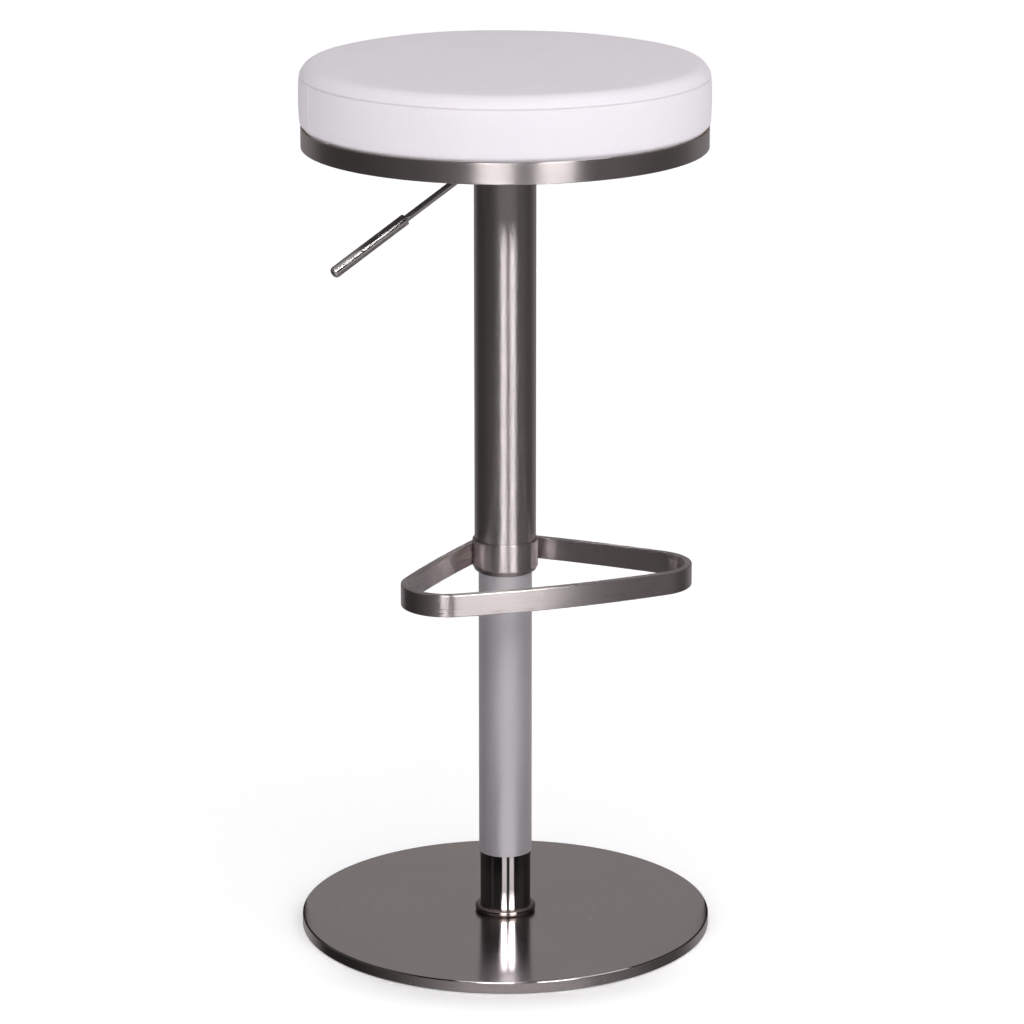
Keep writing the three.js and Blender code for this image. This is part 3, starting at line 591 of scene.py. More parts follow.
# The collar grips the post's foot and has a long chamfer and a lip under it; its profile is turned about Z.
collarShape = {"chamfer": 6 * mm, "chamferEdge": 1.6 * mm, "lip": 2.7 * mm, "edge": 0.7 * mm,
               "gap": 0.3 * mm, "lipEdge": 0.25 * mm}
low, high = boxOf("footrest_collar")
sleeveGap = boxOf("guide_sleeve")[1][0] + collarShape["gap"]
collarBore = postRadius + collarShape["gap"]
collar = turnedPiece("stool_footrest_collar", [
    (sleeveGap, low[2], collarShape["lipEdge"]),
    (high[0], low[2] + collarShape["chamfer"], collarShape["chamferEdge"]),
    (high[0], high[2], collarShape["edge"]), (collarBore, high[2], 0.3 * mm),
    (collarBore, low[2] + collarShape["lip"], 0), (sleeveGap, low[2] + collarShape["lip"], 0)])
settle(collar, "carrier", "brushed_steel", steel["turnedSteel"], "footrest_collar")

# The bar's section is a rounded rectangle, at inset a from its outer face and height b, carried along arcs
# of three circles: the front's, the corner's and the side's. A corner circle touches the other two from
# inside. On the sides each line of the section ends where it meets a circle just inside the collar's wall.
barShape = {"thickness": 7.2 * mm, "edge": 0.9 * mm, "corner": 44 * mm, "frontBow": 830 * mm,
            "sideBow": 1250 * mm, "sideOffset": 31 * mm, "cornerSteps": 28, "sideSteps": 26,
            "frontSteps": 30, "weldIn": 0.7 * mm}
low, high = boxOf("footrest_bar")
thickness, barEdge = barShape["thickness"], barShape["edge"]
sectionCorners = [(0, low[2]), (thickness, low[2]), (thickness, high[2]), (0, high[2])]
section, barWear = softLine([(*place, barEdge) for place in sectionCorners], True, steps=4, hold=0.8 * mm)
inset, level = section[:, 0], section[:, 1]
cornerRadius, frontBow, sideBow = barShape["corner"], barShape["frontBow"], barShape["sideBow"]
frontCentre = np.array((0, frontBow + low[1]))
cornerX = high[0] - cornerRadius
frontTurn = math.asin(cornerX / (frontBow - cornerRadius))
cornerCentre = np.array((cornerX, frontCentre[1] - (frontBow - cornerRadius) * math.cos(frontTurn)))
cornerAway = np.linalg.norm(cornerCentre)
fromCorner, fromAxis = sideBow - cornerRadius, sideBow - barShape["sideOffset"]
nearer = (fromAxis ** 2 - fromCorner ** 2 + cornerAway ** 2) / (2 * cornerAway)
sideways = np.array((-cornerCentre[1], cornerCentre[0])) / cornerAway
sideCentre = cornerCentre / cornerAway * nearer - sideways * math.sqrt(fromAxis ** 2 - nearer ** 2)
cornerEnd = math.atan2(*(cornerCentre - sideCentre)[::-1])
endRadius = boxOf("footrest_collar")[1][0] - barShape["weldIn"]
# The side's own angle at which each line of the section reaches the collar, from its triangle with the axis.
sideAway = np.linalg.norm(sideCentre)
sideRadius = sideBow - inset
endTurn = math.atan2(*(-sideCentre)[::-1]) - np.arccos(
    (sideAway ** 2 + sideRadius ** 2 - endRadius ** 2) / (2 * sideAway * sideRadius))


def arcPoints(centre, radius, start, end, steps):
    turn = start + (end - start) * np.linspace(0, 1, steps)[:, None]
    return np.stack((centre[0] + radius * np.cos(turn), centre[1] + radius * np.sin(turn)), axis=-1)


frontEnd = frontTurn - math.pi / 2
front = arcPoints(frontCentre, frontBow - inset, -math.pi / 2, frontEnd, barShape["frontSteps"])
corner = arcPoints(cornerCentre, cornerRadius - inset, frontEnd, cornerEnd, barShape["cornerSteps"])
side = arcPoints(sideCentre, sideRadius, cornerEnd, endTurn, barShape["sideSteps"])
right = np.concatenate((front, corner[1:], side[1:]))
left = right[:0:-1] * (-1, 1)
plan = np.concatenate((left, right))
barGrid = np.concatenate((plan, np.broadcast_to(level[None, :, None], plan.shape[:2] + (1,))), axis=-1)
middle = barGrid.mean(axis=1)
along = lengthsAlong(middle)
aroundBar = lengthsAlong(np.vstack((section, section[:1])))
bar = skin("stool_footrest_bar", barGrid, aroundBar, along - along[len(left)], ends=(middle[0], middle[-1]))
writeWearAndShade(bar.data, np.append(np.tile(barWear, len(plan)), (0, 0)))
settle(bar, "carrier", "brushed_steel", steel["footrestSteel"], "footrest_bar")
print("seat post and footrest made")


# The band is a hoop of thin strip: its section is turned about Z.
bandShape = {"wall": 1.2 * mm, "edge": 0.5 * mm, "innerEdge": 0.3 * mm, "turns": 384}
low, high = boxOf("seat_band")
bandRadius, bandTop, bandBottom = high[0], high[2], low[2]
bore = bandRadius - bandShape["wall"]
band = turnedPiece("stool_seat_band", [
    (bore, bandBottom, bandShape["innerEdge"]), (bandRadius, bandBottom, bandShape["edge"]),
    (bandRadius, bandTop, bandShape["edge"]), (bore, bandTop, bandShape["innerEdge"])],
    turns=bandShape["turns"])
settle(band, "carrier", "brushed_steel", steel["bandSteel"], "seat_band")
print("seat band made")


cushionShape = {"start": 0.985, "voxel": 5 * mm, "pressure": 4.0, "frames": 20, "cap": 6 * mm,
                "edge": 14 * mm, "crown": 0.9 * mm, "waist": 1.3 * mm, "fill": 0.75,
                "swell": 0.12, "sway": 0.45, "swayMost": 0.9 * mm, "waves": 9,
                "seamDrop": 15.4 * mm, "seamDepth": 0.5 * mm, "seamHalf": 0.6 * mm,
                "ridgeRise": 1.7 * mm, "ridgeHeight": 0.28 * mm, "ridgeHalf": 1.1 * mm,
                "stitchDrop": 0.2 * mm, "stitchPitch": 3.2 * mm, "stitchLength": 2.3 * mm,
                "stitchRadius": 0.36 * mm, "stitchOut": 0.05 * mm, "sideSeamHalf": 4.4 * mm,
                "creaseDepth": 0.14 * mm,
                "sideSeamDepth": 0.6 * mm, "foldHeight": 0.28 * mm, "foldAway": 2.2 * mm,
                "foldHalf": 1.4 * mm, "rowDepth": 0.18 * mm, "rowHalf": 0.5 * mm, "sitDepth": 0.12 * mm,
                "creasedTowards": math.radians(215)}
clothShape = {"quality": 6, "mass": 0.4, "stretch": 40, "bending": 4, "heldAbove": 1.5 * mm}
low, high = boxOf("seat_cover")
cushionBottom, cushionTop, cushionRadius = low[2], high[2], high[0]
boardRadius = boxOf("seat_board")[1][0]
seamLevel = cushionTop - cushionShape["seamDrop"]


# The cushion's outline before it is blown up: inside the band it is as wide as the board.
def cushionLine(shrink):
    wide = cushionRadius * shrink
    return [(0, cushionBottom, 0), (boardRadius - 0.4 * mm, cushionBottom, 1.5 * mm),
            (boardRadius - 0.4 * mm, bandTop + 0.3 * mm, 0.5 * mm), (wide, bandTop + 4 * mm, 3 * mm),
            (wide, cushionTop - 3.4 * mm, cushionShape["edge"]), (0, cushionTop - 1.6 * mm, 0)]


# Remeshes the start shape evenly, lets cloth with air in it swell for 20 frames while the part inside the
# band is held, and keeps each point within a cap of where it was.
def blowUp(form):
    remesh = form.modifiers.new("even", "REMESH")
    remesh.mode, remesh.voxel_size = "VOXEL", cushionShape["voxel"]
    bpy.context.view_layer.objects.active = form
    bpy.ops.object.modifier_apply(modifier=remesh.name)
    before = readPoints(form.data)
    held = form.vertex_groups.new(name="held")
    inside = np.flatnonzero(before[:, 2] < bandTop + clothShape["heldAbove"])
    held.add(inside.tolist(), 1.0, "REPLACE")
    cloth = form.modifiers.new("air", "CLOTH")
    settings = cloth.settings
    settings.use_pressure = True
    settings.uniform_pressure_force = cushionShape["pressure"]
    settings.effector_weights.gravity = 0
    settings.vertex_group_mass = held.name
    settings.quality = clothShape["quality"]
    settings.mass = clothShape["mass"]
    settings.tension_stiffness = settings.compression_stiffness = clothShape["stretch"]
    settings.bending_stiffness = clothShape["bending"]
    cloth.point_cache.frame_start, cloth.point_cache.frame_end = 1, cushionShape["frames"]
    for number in range(1, cushionShape["frames"] + 1):
        scene.frame_set(number)
    after = readPoints(form.evaluated_get(bpy.context.evaluated_depsgraph_get()).data)
    form.modifiers.remove(cloth)
    scene.frame_set(1)
    move = after - before
    size = np.linalg.norm(move, axis=1, keepdims=True)
    cap = cushionShape["cap"]
    move *= np.tanh(size / cap) * cap / np.maximum(size, 1e-9)
    writePoints(form.data, before + move)
    print("cushion blown up, most move", round(float(size.max()) * 1000, 2), "mm")
    finer = form.modifiers.new("finer", "SUBSURF")
    finer.levels = finer.render_levels = 1
    bpy.ops.object.modifier_apply(modifier=finer.name)


form = turnedPiece("cushion_form", cushionLine(cushionShape["start"]), closed=False, turns=180, steps=6)
blowUp(form)

# The skin is a fine grid laid on that form: more rows by the seam and more columns by the side seam.
line, wear = softLine(cushionLine(1.0), False, steps=10, hold=2 * mm)
pathLength = lengthsAlong(line)
sideStart = float(np.interp(bandTop + 4 * mm, line[:, 1], pathLength))
seamAt = float(np.interp(seamLevel, line[:, 1], pathLength))
total = pathLength[-1]
stations = np.unique(np.round(np.concatenate((
    np.linspace(0.02, 1, 14) * (pathLength[1]), np.linspace(pathLength[1], sideStart, 12),
    np.linspace(sideStart, seamAt - 5 * mm, 16), seamAt + np.linspace(-5, 5, 41) * mm,
    np.linspace(seamAt + 5 * mm, seamAt + 26 * mm, 18),
    np.linspace(seamAt + 26 * mm, total - 4 * mm, 26))), 6))
rowRadius = np.interp(stations, pathLength, line[:, 0])
rowHeight = np.interp(stations, pathLength, line[:, 1])
rise = np.clip((rowHeight - bandTop) / (cushionTop - bandTop), 0, 1)
pulledIn = (1 - np.sin(math.pi * rise)) * (rowRadius / cushionRadius) ** 6
rowRadius = rowRadius - cushionShape["waist"] * pulledIn
tangentRadius = np.gradient(rowRadius, stations)
tangentHeight = np.gradient(rowHeight, stations)
fine = math.pi + np.linspace(-9, 9, 61) * mm / cushionRadius
turns = np.unique(np.concatenate((np.linspace(fine[-1], fine[0] + fullTurn, 760), fine))) % fullTurn
turns = np.sort(np.unique(np.round(turns, 7)))
start = np.stack((rowRadius[:, None] * np.cos(turns), rowRadius[:, None] * np.sin(turns),
                  rowHeight[:, None] + 0 * turns), axis=-1)
mapU = np.append(turns, turns[0] + fullTurn) * cushionRadius
cushion = skin("stool_cushion", start, mapU, stations, ends=((0, 0, cushionBottom), (0, 0, line[-1, 1])))
wrap = cushion.modifiers.new("ontoForm", "SHRINKWRAP")
wrap.target, wrap.wrap_method = form, "NEAREST_SURFACEPOINT"
bpy.context.view_layer.objects.active = cushion
bpy.ops.object.modifier_apply(modifier=wrap.name)
points = readPoints(cushion.data).astype(float)
body = points[:start.shape[0] * start.shape[1]].reshape(start.shape)

outX = tangentHeight[:, None] * np.cos(turns)
outY = tangentHeight[:, None] * np.sin(turns)
outZ = -tangentRadius[:, None] + 0 * turns
normal = np.stack((outX, outY, outZ), axis=-1)
normal /= np.linalg.norm(normal, axis=-1, keepdims=True)

# The cover's cut decides how far the blown form may show: its even swelling is mostly taken up by the cover,
# and its long waves round the seat stay, without the short wrinkles of the coarse cloth.
swell = ((body - start) * normal).sum(axis=-1)
even = np.arange(720) / 720 * fullTurn
evenSwell = np.stack([np.interp(even, turns, row, period=fullTurn) for row in swell])
waves = np.fft.rfft(evenSwell, axis=1)
waves[:, cushionShape["waves"]:] = 0
mean = waves[:, :1].real / len(even)
waves[:, 0] = 0
sway = np.fft.irfft(waves, len(even), axis=1)
for step in range(40):
    sway[1:-1] = (sway[:-2] + 2 * sway[1:-1] + sway[2:]) / 4
    mean[1:-1] = (mean[:-2] + 2 * mean[1:-1] + mean[2:]) / 4
most = cushionShape["swayMost"]
sway = most * np.tanh(sway * cushionShape["sway"] / most)
kept = mean * cushionShape["swell"] + sway
keptHere = np.stack([np.interp(turns, even, row, period=fullTurn) for row in kept])
body = start + normal * keptHere[..., None]

# Then it is sewn: a groove with a folded ridge above it runs round the side, a second groove runs down from
# it, and fine creases hang from the seam.
def hump(value, middle, half):
    return np.exp(-((value - middle) / half) ** 2)


gap = stations - seamAt
arcFromSide = (turns - math.pi) * cushionRadius
shape = cushionShape
pucker = 1 + 0.12 * np.sin(turns * 97) * np.sin(turns * 41 + 1.0)
groove = -shape["seamDepth"] * hump(gap, 0, shape["seamHalf"])[:, None] * pucker
ridge = shape["ridgeHeight"] * hump(gap, shape["ridgeRise"], shape["ridgeHalf"])[:, None] * pucker
onSide = (1 / (1 + np.exp(-(rowHeight - bandTop - 1 * mm) / (1 * mm)))
          / (1 + np.exp((gap + 1 * mm) / (1 * mm))))[:, None]
folds = sum(hump(arcFromSide, away, shape["foldHalf"]) for away in (-shape["foldAway"], shape["foldAway"]))
rowHumps = sum(hump(arcFromSide, away, shape["rowHalf"])
               for away in (-shape["sideSeamHalf"], shape["sideSeamHalf"]))
sideGroove = -shape["sideSeamDepth"] * hump(arcFromSide, 0, 0.8 * mm) * onSide
sideGroove += (shape["foldHeight"] * folds - shape["rowDepth"] * rowHumps) * onSide
meeting = -0.5 * mm * hump(arcFromSide, 0, 4 * mm) * hump(gap, -1 * mm, 3 * mm)[:, None]
creaseTone = (np.sin(turns * 211 + 2 * np.sin(turns * 13)) * 0.6 + np.sin(turns * 343 + 1.7) * 0.4)
creaseTone *= 0.35 + 0.65 * np.clip(np.cos(turns - shape["creasedTowards"]), 0, 1) ** 2
hang = hump(gap, -5 * mm, 14 * mm)[:, None] * onSide
creases = shape["creaseDepth"] * creaseTone * hang
sit = shape["sitDepth"] * (np.sin(turns * 3 + 0.4) + 0.6 * np.sin(turns * 5 + 2.0))
sit = sit * hump(gap, -22 * mm, 20 * mm)[:, None]
relief = groove + ridge + sideGroove + meeting + creases + sit * onSide
body = body + normal * relief[..., None]

# A last crown for the top, and nothing wider than the band allows under its edge.
fromAxis = np.linalg.norm(body[..., :2], axis=-1)
onTop = rowHeight > cushionTop - 3 * mm
body[onTop, :, 2] += (shape["crown"] * (1 - (fromAxis[onTop] / cushionRadius) ** 2))
inBand = body[..., 2] < bandTop + 0.2 * mm
limit = (bandRadius - bandShape["wall"] - 0.2 * mm) / np.maximum(fromAxis, 1e-6)
body[..., :2] *= np.where(inBand, np.minimum(1, limit), 1)[..., None]
count = body.shape[0] * body.shape[1]
points[:count] = body.reshape(-1, 3)
points[count] = (0, 0, body[0, :, 2].mean())
points[count + 1] = (0, 0, body[-1, :, 2].max() + 0.02 * mm)
writePoints(cushion.data, points)
# Painted shade, with some dirt, in the seam's groove and in the side seam's groove and rows; the leather is
# darker there.
shadeAndDirt = hump(gap, 0, shape["seamHalf"])[:, None] + (hump(arcFromSide, 0, 0.7 * mm) + 0.7 * rowHumps) * onSide
writeWearAndShade(cushion.data, np.append(np.clip(shadeAndDirt, 0, 1).ravel(), (0, 0)))
bpy.data.objects.remove(form)
settle(cushion, "carrier", "faux_leather", finish["faux_leather"], "seat_cover", "foam_pad")
print("cushion made")


# Stitches: short threads, thick in the middle and sunk at the ends. Each has its own centre, direction
# and outward vector; a point is centre + direction * t + outward * dip(t) + a small circle round them.
def stitches(name, centres, directions, outwards, length, radius):
    t = np.linspace(-1, 1, 7)
    around = np.arange(6) / 6 * fullTurn
    sideways = np.cross(directions, outwards)
    thick = radius * np.sqrt(np.clip(1 - (t * 0.96) ** 4, 0.02, 1))
    dip = -radius * 1.5 * np.abs(t) ** 3
    middleLine = (centres[:, None] + directions[:, None] * (t * length / 2)[:, None]
                  + outwards[:, None] * dip[:, None])
    spread = (np.cos(around)[:, None] * sideways[:, None] + np.sin(around)[:, None] * outwards[:, None])
    grid = middleLine[:, :, None] + thick[None, :, None, None] * spread[:, None]
    number, rows, columns = grid.shape[:3]
    index = np.arange(number * rows * columns).reshape(number, rows, columns)
    wrapped = np.concatenate((index, index[..., :1]), axis=2)

    def cells(table):
        return np.stack((table[:, :-1, :-1], table[:, 1:, :-1], table[:, 1:, 1:], table[:, :-1, 1:]), axis=3)

    place = np.stack(np.broadcast_arrays((np.arange(columns + 1) / columns)[None, None, :],
                                         (t * length / 2)[None, :, None] + 0 * index[..., :1]), axis=-1)
    faces = [cells(wrapped).reshape(-1, 4), index[:, 0], index[:, -1, ::-1]]
    capMap = np.zeros((number * columns, 2))
    return layMesh(name, grid.reshape(-1, 3), faces, [cells(place), capMap, capMap])


# Where a stitch sits: the point of the cushion's grid at a station and an angle.
def onCushion(station, angle):
    row = np.interp(station, stations, np.arange(len(stations)))
    column = np.interp(angle % fullTurn, turns, np.arange(len(turns)))
    i, j = np.floor(row).astype(int), np.floor(column).astype(int)
    a, b = (row - i)[:, None], (column - j)[:, None]
    i2, j2 = np.minimum(i + 1, len(stations) - 1), np.minimum(j + 1, len(turns) - 1)
    return ((1 - a) * ((1 - b) * body[i, j] + b * body[i, j2])
            + a * ((1 - b) * body[i2, j] + b * body[i2, j2]))


# Sews a row of stitches at the given stations and angles; upright ones run up the side, others round it.
def sew(name, atStations, atAngles, upright):
    centres = onCushion(atStations, atAngles)
    outwards = np.stack((np.cos(atAngles), np.sin(atAngles), 0 * atAngles), axis=-1)
    directions = np.stack((-np.sin(atAngles), np.cos(atAngles), 0 * atAngles), axis=-1)
    if upright:
        directions = np.tile((0.0, 0.0, 1.0), (len(centres), 1))
    sewn = stitches(name, centres + outwards * shape["stitchOut"], directions, outwards,
                    shape["stitchLength"], shape["stitchRadius"])
    settle(sewn, "carrier", "faux_leather", finish["thread"])


stitchCount = int(round(fullTurn * cushionRadius / shape["stitchPitch"]))
sew("stool_seam_stitches", np.full(stitchCount, seamAt - shape["stitchDrop"]),
    (np.arange(stitchCount) + 0.5) / stitchCount * fullTurn, False)
rowsDown = np.arange(sideStart + 1 * mm, seamAt - 5 * mm, shape["stitchPitch"])
sew("stool_side_seam_stitches", np.tile(rowsDown, 2),
    math.pi + np.repeat((-1, 1), len(rowsDown)) * shape["sideSeamHalf"] / cushionRadius, True)
print("seams sewn")


# The lever's rod is a circle carried along a path: straight out of the post, round an arc, and down a slope.
leverShape = {"slope": math.radians(33.2), "bend": 14 * mm, "reach": 166.8 * mm, "handle": 88.5 * mm,
              "handleBore": 55 * mm, "rod": 3.4 * mm, "grip": 5.7 * mm, "pastPost": 5 * mm, "tip": 4.4 * mm,
              "recess": 1.2 * mm, "rodGap": 0.15 * mm, "footEdge": 1.1 * mm, "rodTurns": 40, "gripTurns": 96}
armLow, armHigh = boxOf("lever_arm")
pivotLevel = (armLow[2] + armHigh[2]) / 2
bendX = -(postRadius + leverShape["pastPost"])
slope, bend = leverShape["slope"], leverShape["bend"]
tangentLength = bend * math.tan(slope / 2)
downhill = np.array((-math.cos(slope), 0, -math.sin(slope)))
bendTurn = np.linspace(0, slope, 14)
arcX = bendX + tangentLength - bend * np.sin(bendTurn)
arcZ = pivotLevel - bend * (1 - np.cos(bendTurn))
bent = np.stack((arcX, 0 * arcX, arcZ), axis=-1)
straightIn = np.array(((armLow[0] - 0.3 * mm, 0, pivotLevel), (armLow[0] - 1.5 * mm, 0, pivotLevel)))
rodOut = leverShape["reach"] - leverShape["handle"] + leverShape["handleBore"]
elbow = np.array((bendX, 0, pivotLevel))
slant = elbow + downhill * np.linspace(tangentLength + 3 * mm, rodOut, 40)[:, None]
path = np.vstack((straightIn, bent, slant))
direction = np.gradient(path, lengthsAlong(path), axis=0)
direction /= np.linalg.norm(direction, axis=1, keepdims=True)
sideways = np.array((0.0, 1.0, 0.0))
upward = np.cross(direction, sideways)
around = np.arange(leverShape["rodTurns"]) / leverShape["rodTurns"] * fullTurn
ringPoints = (np.cos(around)[None, :, None] * sideways + np.sin(around)[None, :, None] * upward[:, None])
rodGrid = path[:, None] + leverShape["rod"] * ringPoints
leverRod = skin("stool_lever_rod", rodGrid, np.append(around, fullTurn) * leverShape["rod"],
                lengthsAlong(path), ends=(path[0], path[-1]))
settle(leverRod, "lever", "chrome", finish["lever_chrome"], "lever_rod")

# The grip is turned about Z, and then laid along the slope with its open foot up the rod.
grip, handleLength = leverShape["grip"], leverShape["handle"]
gripBore, recess = leverShape["rod"] + leverShape["rodGap"], leverShape["recess"]
handle = turnedPiece("stool_lever_handle", [
    (0, recess, 0), (gripBore, recess, 0), (gripBore, 0, 0.3 * mm), (grip, 0, leverShape["footEdge"]),
    (grip, handleLength, leverShape["tip"]), (0, handleLength, 0)],
    closed=False, turns=leverShape["gripTurns"], steps=8)
spot = readPoints(handle.data)
handleFoot = elbow + downhill * (leverShape["reach"] - handleLength)
across = np.cross(sideways, downhill)
writePoints(handle.data, handleFoot + spot[:, :1] * across + spot[:, 1:2] * sideways + spot[:, 2:] * downhill)
settle(handle, "lever", "chrome", finish["lever_chrome"], "lever_handle")
print("lever made")


# Stands a camera or lamp at an angle round the stool, measured from its front, and aims it.
def standAndAim(thing, turn, look, target):
    scene.collection.objects.link(thing)
    thing.location = (math.sin(turn) * look["distance"], -math.cos(turn) * look["distance"], look["height"])
    thing.rotation_mode = "QUATERNION"
    thing.rotation_quaternion = (Vector(target) - thing.location).to_track_quat("-Z", "Y")


cameraPlace = {"azimuth": math.radians(-20.2), "distance": 4.167, "height": 1.572, "lens": 155.8,
               "aside": 0.0066, "aim": 0.4227}
azimuth = cameraPlace["azimuth"]
cameraData = bpy.data.cameras.new("camera")
cameraData.lens, cameraData.sensor_width = cameraPlace["lens"], 36
cameraData.clip_start, cameraData.clip_end = 0.05, 200
camera = bpy.data.objects.new("camera", cameraData)
standAndAim(camera, azimuth, cameraPlace, (math.cos(azimuth) * cameraPlace["aside"],
                                           math.sin(azimuth) * cameraPlace["aside"], cameraPlace["aim"]))
scene.camera = camera

# Turns and elevations are in degrees; a stripe is (turn, half width), and a ramp's stop is (turn, level).
studio = {"stripes": ((-6.0, 10.0), (29.8, 10.8)), "stripeSoft": 1.5, "stripeFrom": 22.5, "stripeTo": 32.0,
          "stripeLevel": 26.0, "lowMeets": (-8, -2), "highMeets": (38, 48),
          "wallStripes": ((-4.0, 9.4), (27.3, 9.4)), "wallStripe": 1.08, "wallRadius": 0.204,
          "wallHalfTurn": math.radians(100), "wallLevels": (0.0122, 0.078),
          "mid": ((-180, .29), (-174, .27), (-164, .13), (-150, .03), (-64, .008), (-58, .07), (-52, .008),
                  (-16, .008), (8, .035), (18, .035), (40, .008), (50, .008), (70, .03), (84, .03),
                  (95, .008),
                  (150, .03), (164, .13), (174, .27), (180, .29)),
          "open": ((-180, .29), (-174, .27), (-164, .17), (-150, .12), (-62, .12), (-46, .02), (-16, .008),
                   (8, .035), (18, .035), (40, .008), (50, .02), (64, .12), (150, .12), (164, .17),
                   (174, .27), (180, .29)),
          "low": ((-180, .32), (-150, .30), (-141, .24), (-132, .12), (-124, .025), (-100, .02), (-85, .035),
                  (-66, .07), (-50, .15), (-34, .26), (-20, .40), (0, .42), (20, .42), (44, .36), (52, .22),
                  (75, .16), (93, .09), (112, .08), (126, .16), (138, .30), (150, .31), (180, .32)),
          "high": ((-180, .30), (-150, .28), (-120, .18), (-60, .40), (0, .6), (60, .45), (120, .22),
                   (150, .28), (180, .30)),
          "domeBase": 0.27, "domeLobe": 1.30, "domeTint": (1.0, 0.985, 1.0, 1), "domeTurn": math.radians(18),
          "domeRise": 0.35, "pale": (0.99, 0.99, 0.99, 1)}


# Light by direction round the stool, measured in degrees from the camera's own direction.
def turnOf(tree, vector):
    x, y, z = splitXyz(tree, vector)
    facing = maths(tree, "ARCTAN2", y, x)
    degrees = times(tree, plus(tree, facing, math.pi / 2 - azimuth), 180 / math.pi)
    return maths(tree, "WRAP", degrees, 180.0, -180.0), z


def levelsBy(tree, turn, stops):
    made = addNode(tree, "ShaderNodeValToRGB", {0: ranged(tree, turn, -180, 180, 0, 1)})
    elements = made.color_ramp.elements
    while len(elements) < len(stops):
        elements.new(0.5)
    for element, (degrees, level) in zip(elements, stops):
        element.position = degrees / 360 + 0.5
    for element, (degrees, level) in zip(elements, stops):
        element.color = (level, level * 0.96, level * 0.955, 1)
    return made.outputs[0]


def stripesBy(tree, turn, level, places):
    parts = []
    for centre, halfWidth in places:
        away = maths(tree, "ABSOLUTE", maths(tree, "SUBTRACT", turn, centre))
        soft = studio["stripeSoft"]
        parts.append(ranged(tree, away, halfWidth - soft, halfWidth + soft, level, 0, smooth=True))
    return plus(tree, *parts)


def addLight(tree, base, stripe):
    return blendColour(tree, 1.0, base, joinXyz(tree, stripe, stripe, stripe), mode="ADD")


world = bpy.data.worlds.new("studio")
scene.world = world
world.use_nodes = True
world.cycles.sampling_method = "NONE"
tree = world.node_tree
tree.nodes.clear()
sky = addNode(tree, "ShaderNodeTexCoord").outputs["Generated"]
turn, rise = turnOf(tree, sky)
lowPart, midPart, openPart, highPart = [levelsBy(tree, turn, studio[part])
                                        for part in ("low", "mid", "open", "high")]


# Goes from one level to the next as the direction rises between two elevations in degrees.
def risen(tree, rise, start, end, first=0.0, last=1.0):
    heights = [math.sin(math.radians(elevation)) for elevation in (start, end)]
    return ranged(tree, rise, *heights, first, last, smooth=True)


# Metal seen straight has the more open surroundings, and metal mirrored in metal the darker ones.
rays = addNode(tree, "ShaderNodeLightPath").outputs
direct = maths(tree, "LESS_THAN", rays["Glossy Depth"], 1.5)
glossy = blendColour(tree, risen(tree, rise, *studio["lowMeets"]), lowPart,
                     blendColour(tree, direct, midPart, openPart))
glossy = blendColour(tree, risen(tree, rise, *studio["highMeets"]), glossy, highPart)
foot, head = studio["stripeFrom"], studio["stripeTo"]
strength = times(tree, risen(tree, rise, foot - 1, foot + 1),
                 risen(tree, rise, head - 1.5, head + 1.5, studio["stripeLevel"], 0))
glossy = addLight(tree, glossy, stripesBy(tree, turn, strength, studio["stripes"]))
toDome = azimuth + studio["domeTurn"]
front = Vector((math.sin(toDome), -math.cos(toDome), studio["domeRise"])).normalized()
facing = vectorMaths(tree, "DOT_PRODUCT", sky, tuple(front), output=1)
lobe = maths(tree, "POWER", ranged(tree, facing, -1, 1, 0, 1), 2.0)
dome = plus(tree, times(tree, lobe, studio["domeLobe"]), studio["domeBase"])
soft = addNode(tree, "ShaderNodeBackground", {0: studio["domeTint"], 1: dome})
mirrored = addNode(tree, "ShaderNodeBackground", {0: glossy, 1: 1.0})
pale = addNode(tree, "ShaderNodeBackground", {0: studio["pale"], 1: 1.0})
for ray, other in (("Is Glossy Ray", mirrored), ("Is Camera Ray", pale)):
    soft = addNode(tree, "ShaderNodeMixShader", {0: rays[ray], 1: soft.outputs[0], 2: other.outputs[0]})
addNode(tree, "ShaderNodeOutputWorld", {0: soft.outputs[0]})


# The floor is pale, with a breath of unevenness, and isn't seen in the metal. It glows a little to camera
# rays, and less in a painted shadow in front of the base.
floorLook = {"radius": 60.0, "tint": (0.93, 0.93, 0.93), "glow": 0.28, "shadowGlow": 0.02,
             "near": 0.202, "far": 0.265, "sides": (0.45, 0.98), "mottle": 3.0, "corners": 96}
angle = np.arange(floorLook["corners"]) / floorLook["corners"] * fullTurn
rim = floorLook["radius"] * np.stack((np.cos(angle), np.sin(angle), 0 * angle), axis=-1)
floorMesh = bpy.data.meshes.new("floor")
floorMesh.from_pydata(rim.tolist(), [], [list(range(len(rim)))])
floor = bpy.data.objects.new("floor", floorMesh)
scene.collection.objects.link(floor)
material, tree, shader, where = startMaterial("paper")
tone = spread(tree, noise(tree, where, floorLook["mottle"]), 0.995, 1.0)
away = vectorMaths(tree, "LENGTH", where, output=1)
inFront = vectorMaths(tree, "DOT_PRODUCT", vectorMaths(tree, "NORMALIZE", where),
                      (math.sin(azimuth), -math.cos(azimuth), 0), output=1)
# Painted shadow: in front of the base, just outside its rim, the floor glows less.
paintedShadow = times(tree, ranged(tree, inFront, *floorLook["sides"], 0, 1, smooth=True),
               ranged(tree, away, floorLook["near"], floorLook["far"], 1, 0, smooth=True))
glow = ranged(tree, paintedShadow, 0, 1, floorLook["glow"], floorLook["shadowGlow"])
glow = times(tree, glow, addNode(tree, "ShaderNodeLightPath").outputs["Is Camera Ray"])
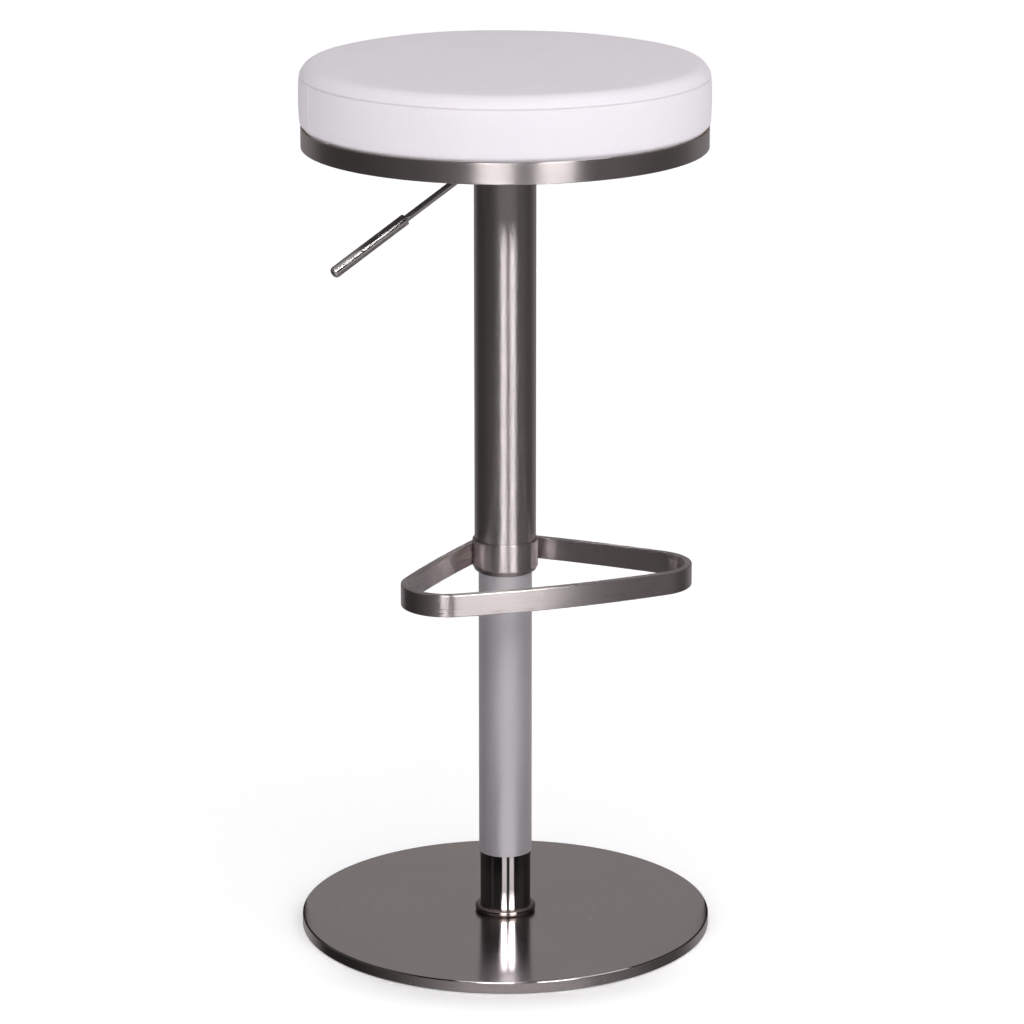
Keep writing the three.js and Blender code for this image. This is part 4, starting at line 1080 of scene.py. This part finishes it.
giveInputs(tree, shader, {"Base Color": scaled(tree, floorLook["tint"], tone), "Roughness": 0.9,
                          "Specular IOR Level": 0.1, "Emission Color": (1, 1, 1, 1),
                          "Emission Strength": glow})
floor.data.materials.append(material)
floor.visible_glossy = False

# A low curved wall stands just in front of the base, for the chrome tube to mirror and for nothing else.
turnSteps = np.linspace(-1, 1, 65)[:, None] * studio["wallHalfTurn"] + azimuth - math.pi / 2
wallLevels = np.array(studio["wallLevels"])
wallPoints = np.stack((studio["wallRadius"] * np.cos(turnSteps) + 0 * wallLevels,
                       studio["wallRadius"] * np.sin(turnSteps) + 0 * wallLevels,
                       wallLevels + 0 * turnSteps), axis=-1)
number = np.arange(wallPoints.size // 3).reshape(-1, 2)
wallFaces = np.stack((number[:-1, 0], number[:-1, 1], number[1:, 1], number[1:, 0]), axis=-1)
wallMaps = np.zeros((wallFaces.size, 2))
wall = layMesh("mirrored_wall", wallPoints.reshape(-1, 3), [wallFaces], [wallMaps])
material, tree, shader, where = startMaterial("wallLight")
turn, rise = turnOf(tree, where)
shade = addLight(tree, levelsBy(tree, turn, studio["mid"]),
                 stripesBy(tree, turn, studio["wallStripe"], studio["wallStripes"]))
light = addNode(tree, "ShaderNodeEmission", {0: shade, 1: 1.0})
output = [node for node in tree.nodes if node.type == "OUTPUT_MATERIAL"][0]
tree.links.new(light.outputs[0], output.inputs[0])
wall.data.materials.append(material)
wall.visible_camera = wall.visible_diffuse = wall.visible_shadow = False
wall.visible_transmission = wall.visible_volume_scatter = False

# One large soft lamp in front on the right gives the cushion its shape.
keyLamp = {"turn": math.radians(26), "distance": 2.6, "height": 1.5, "size": 2.0, "power": 7.0, "aim": 0.8}
lampData = bpy.data.lights.new("key", "AREA")
lampData.shape, lampData.size, lampData.energy = "SQUARE", keyLamp["size"], keyLamp["power"]
lamp = bpy.data.objects.new("key", lampData)
standAndAim(lamp, azimuth + keyLamp["turn"], keyLamp, (0, 0, keyLamp["aim"]))
lamp.visible_glossy = False
print("studio made")
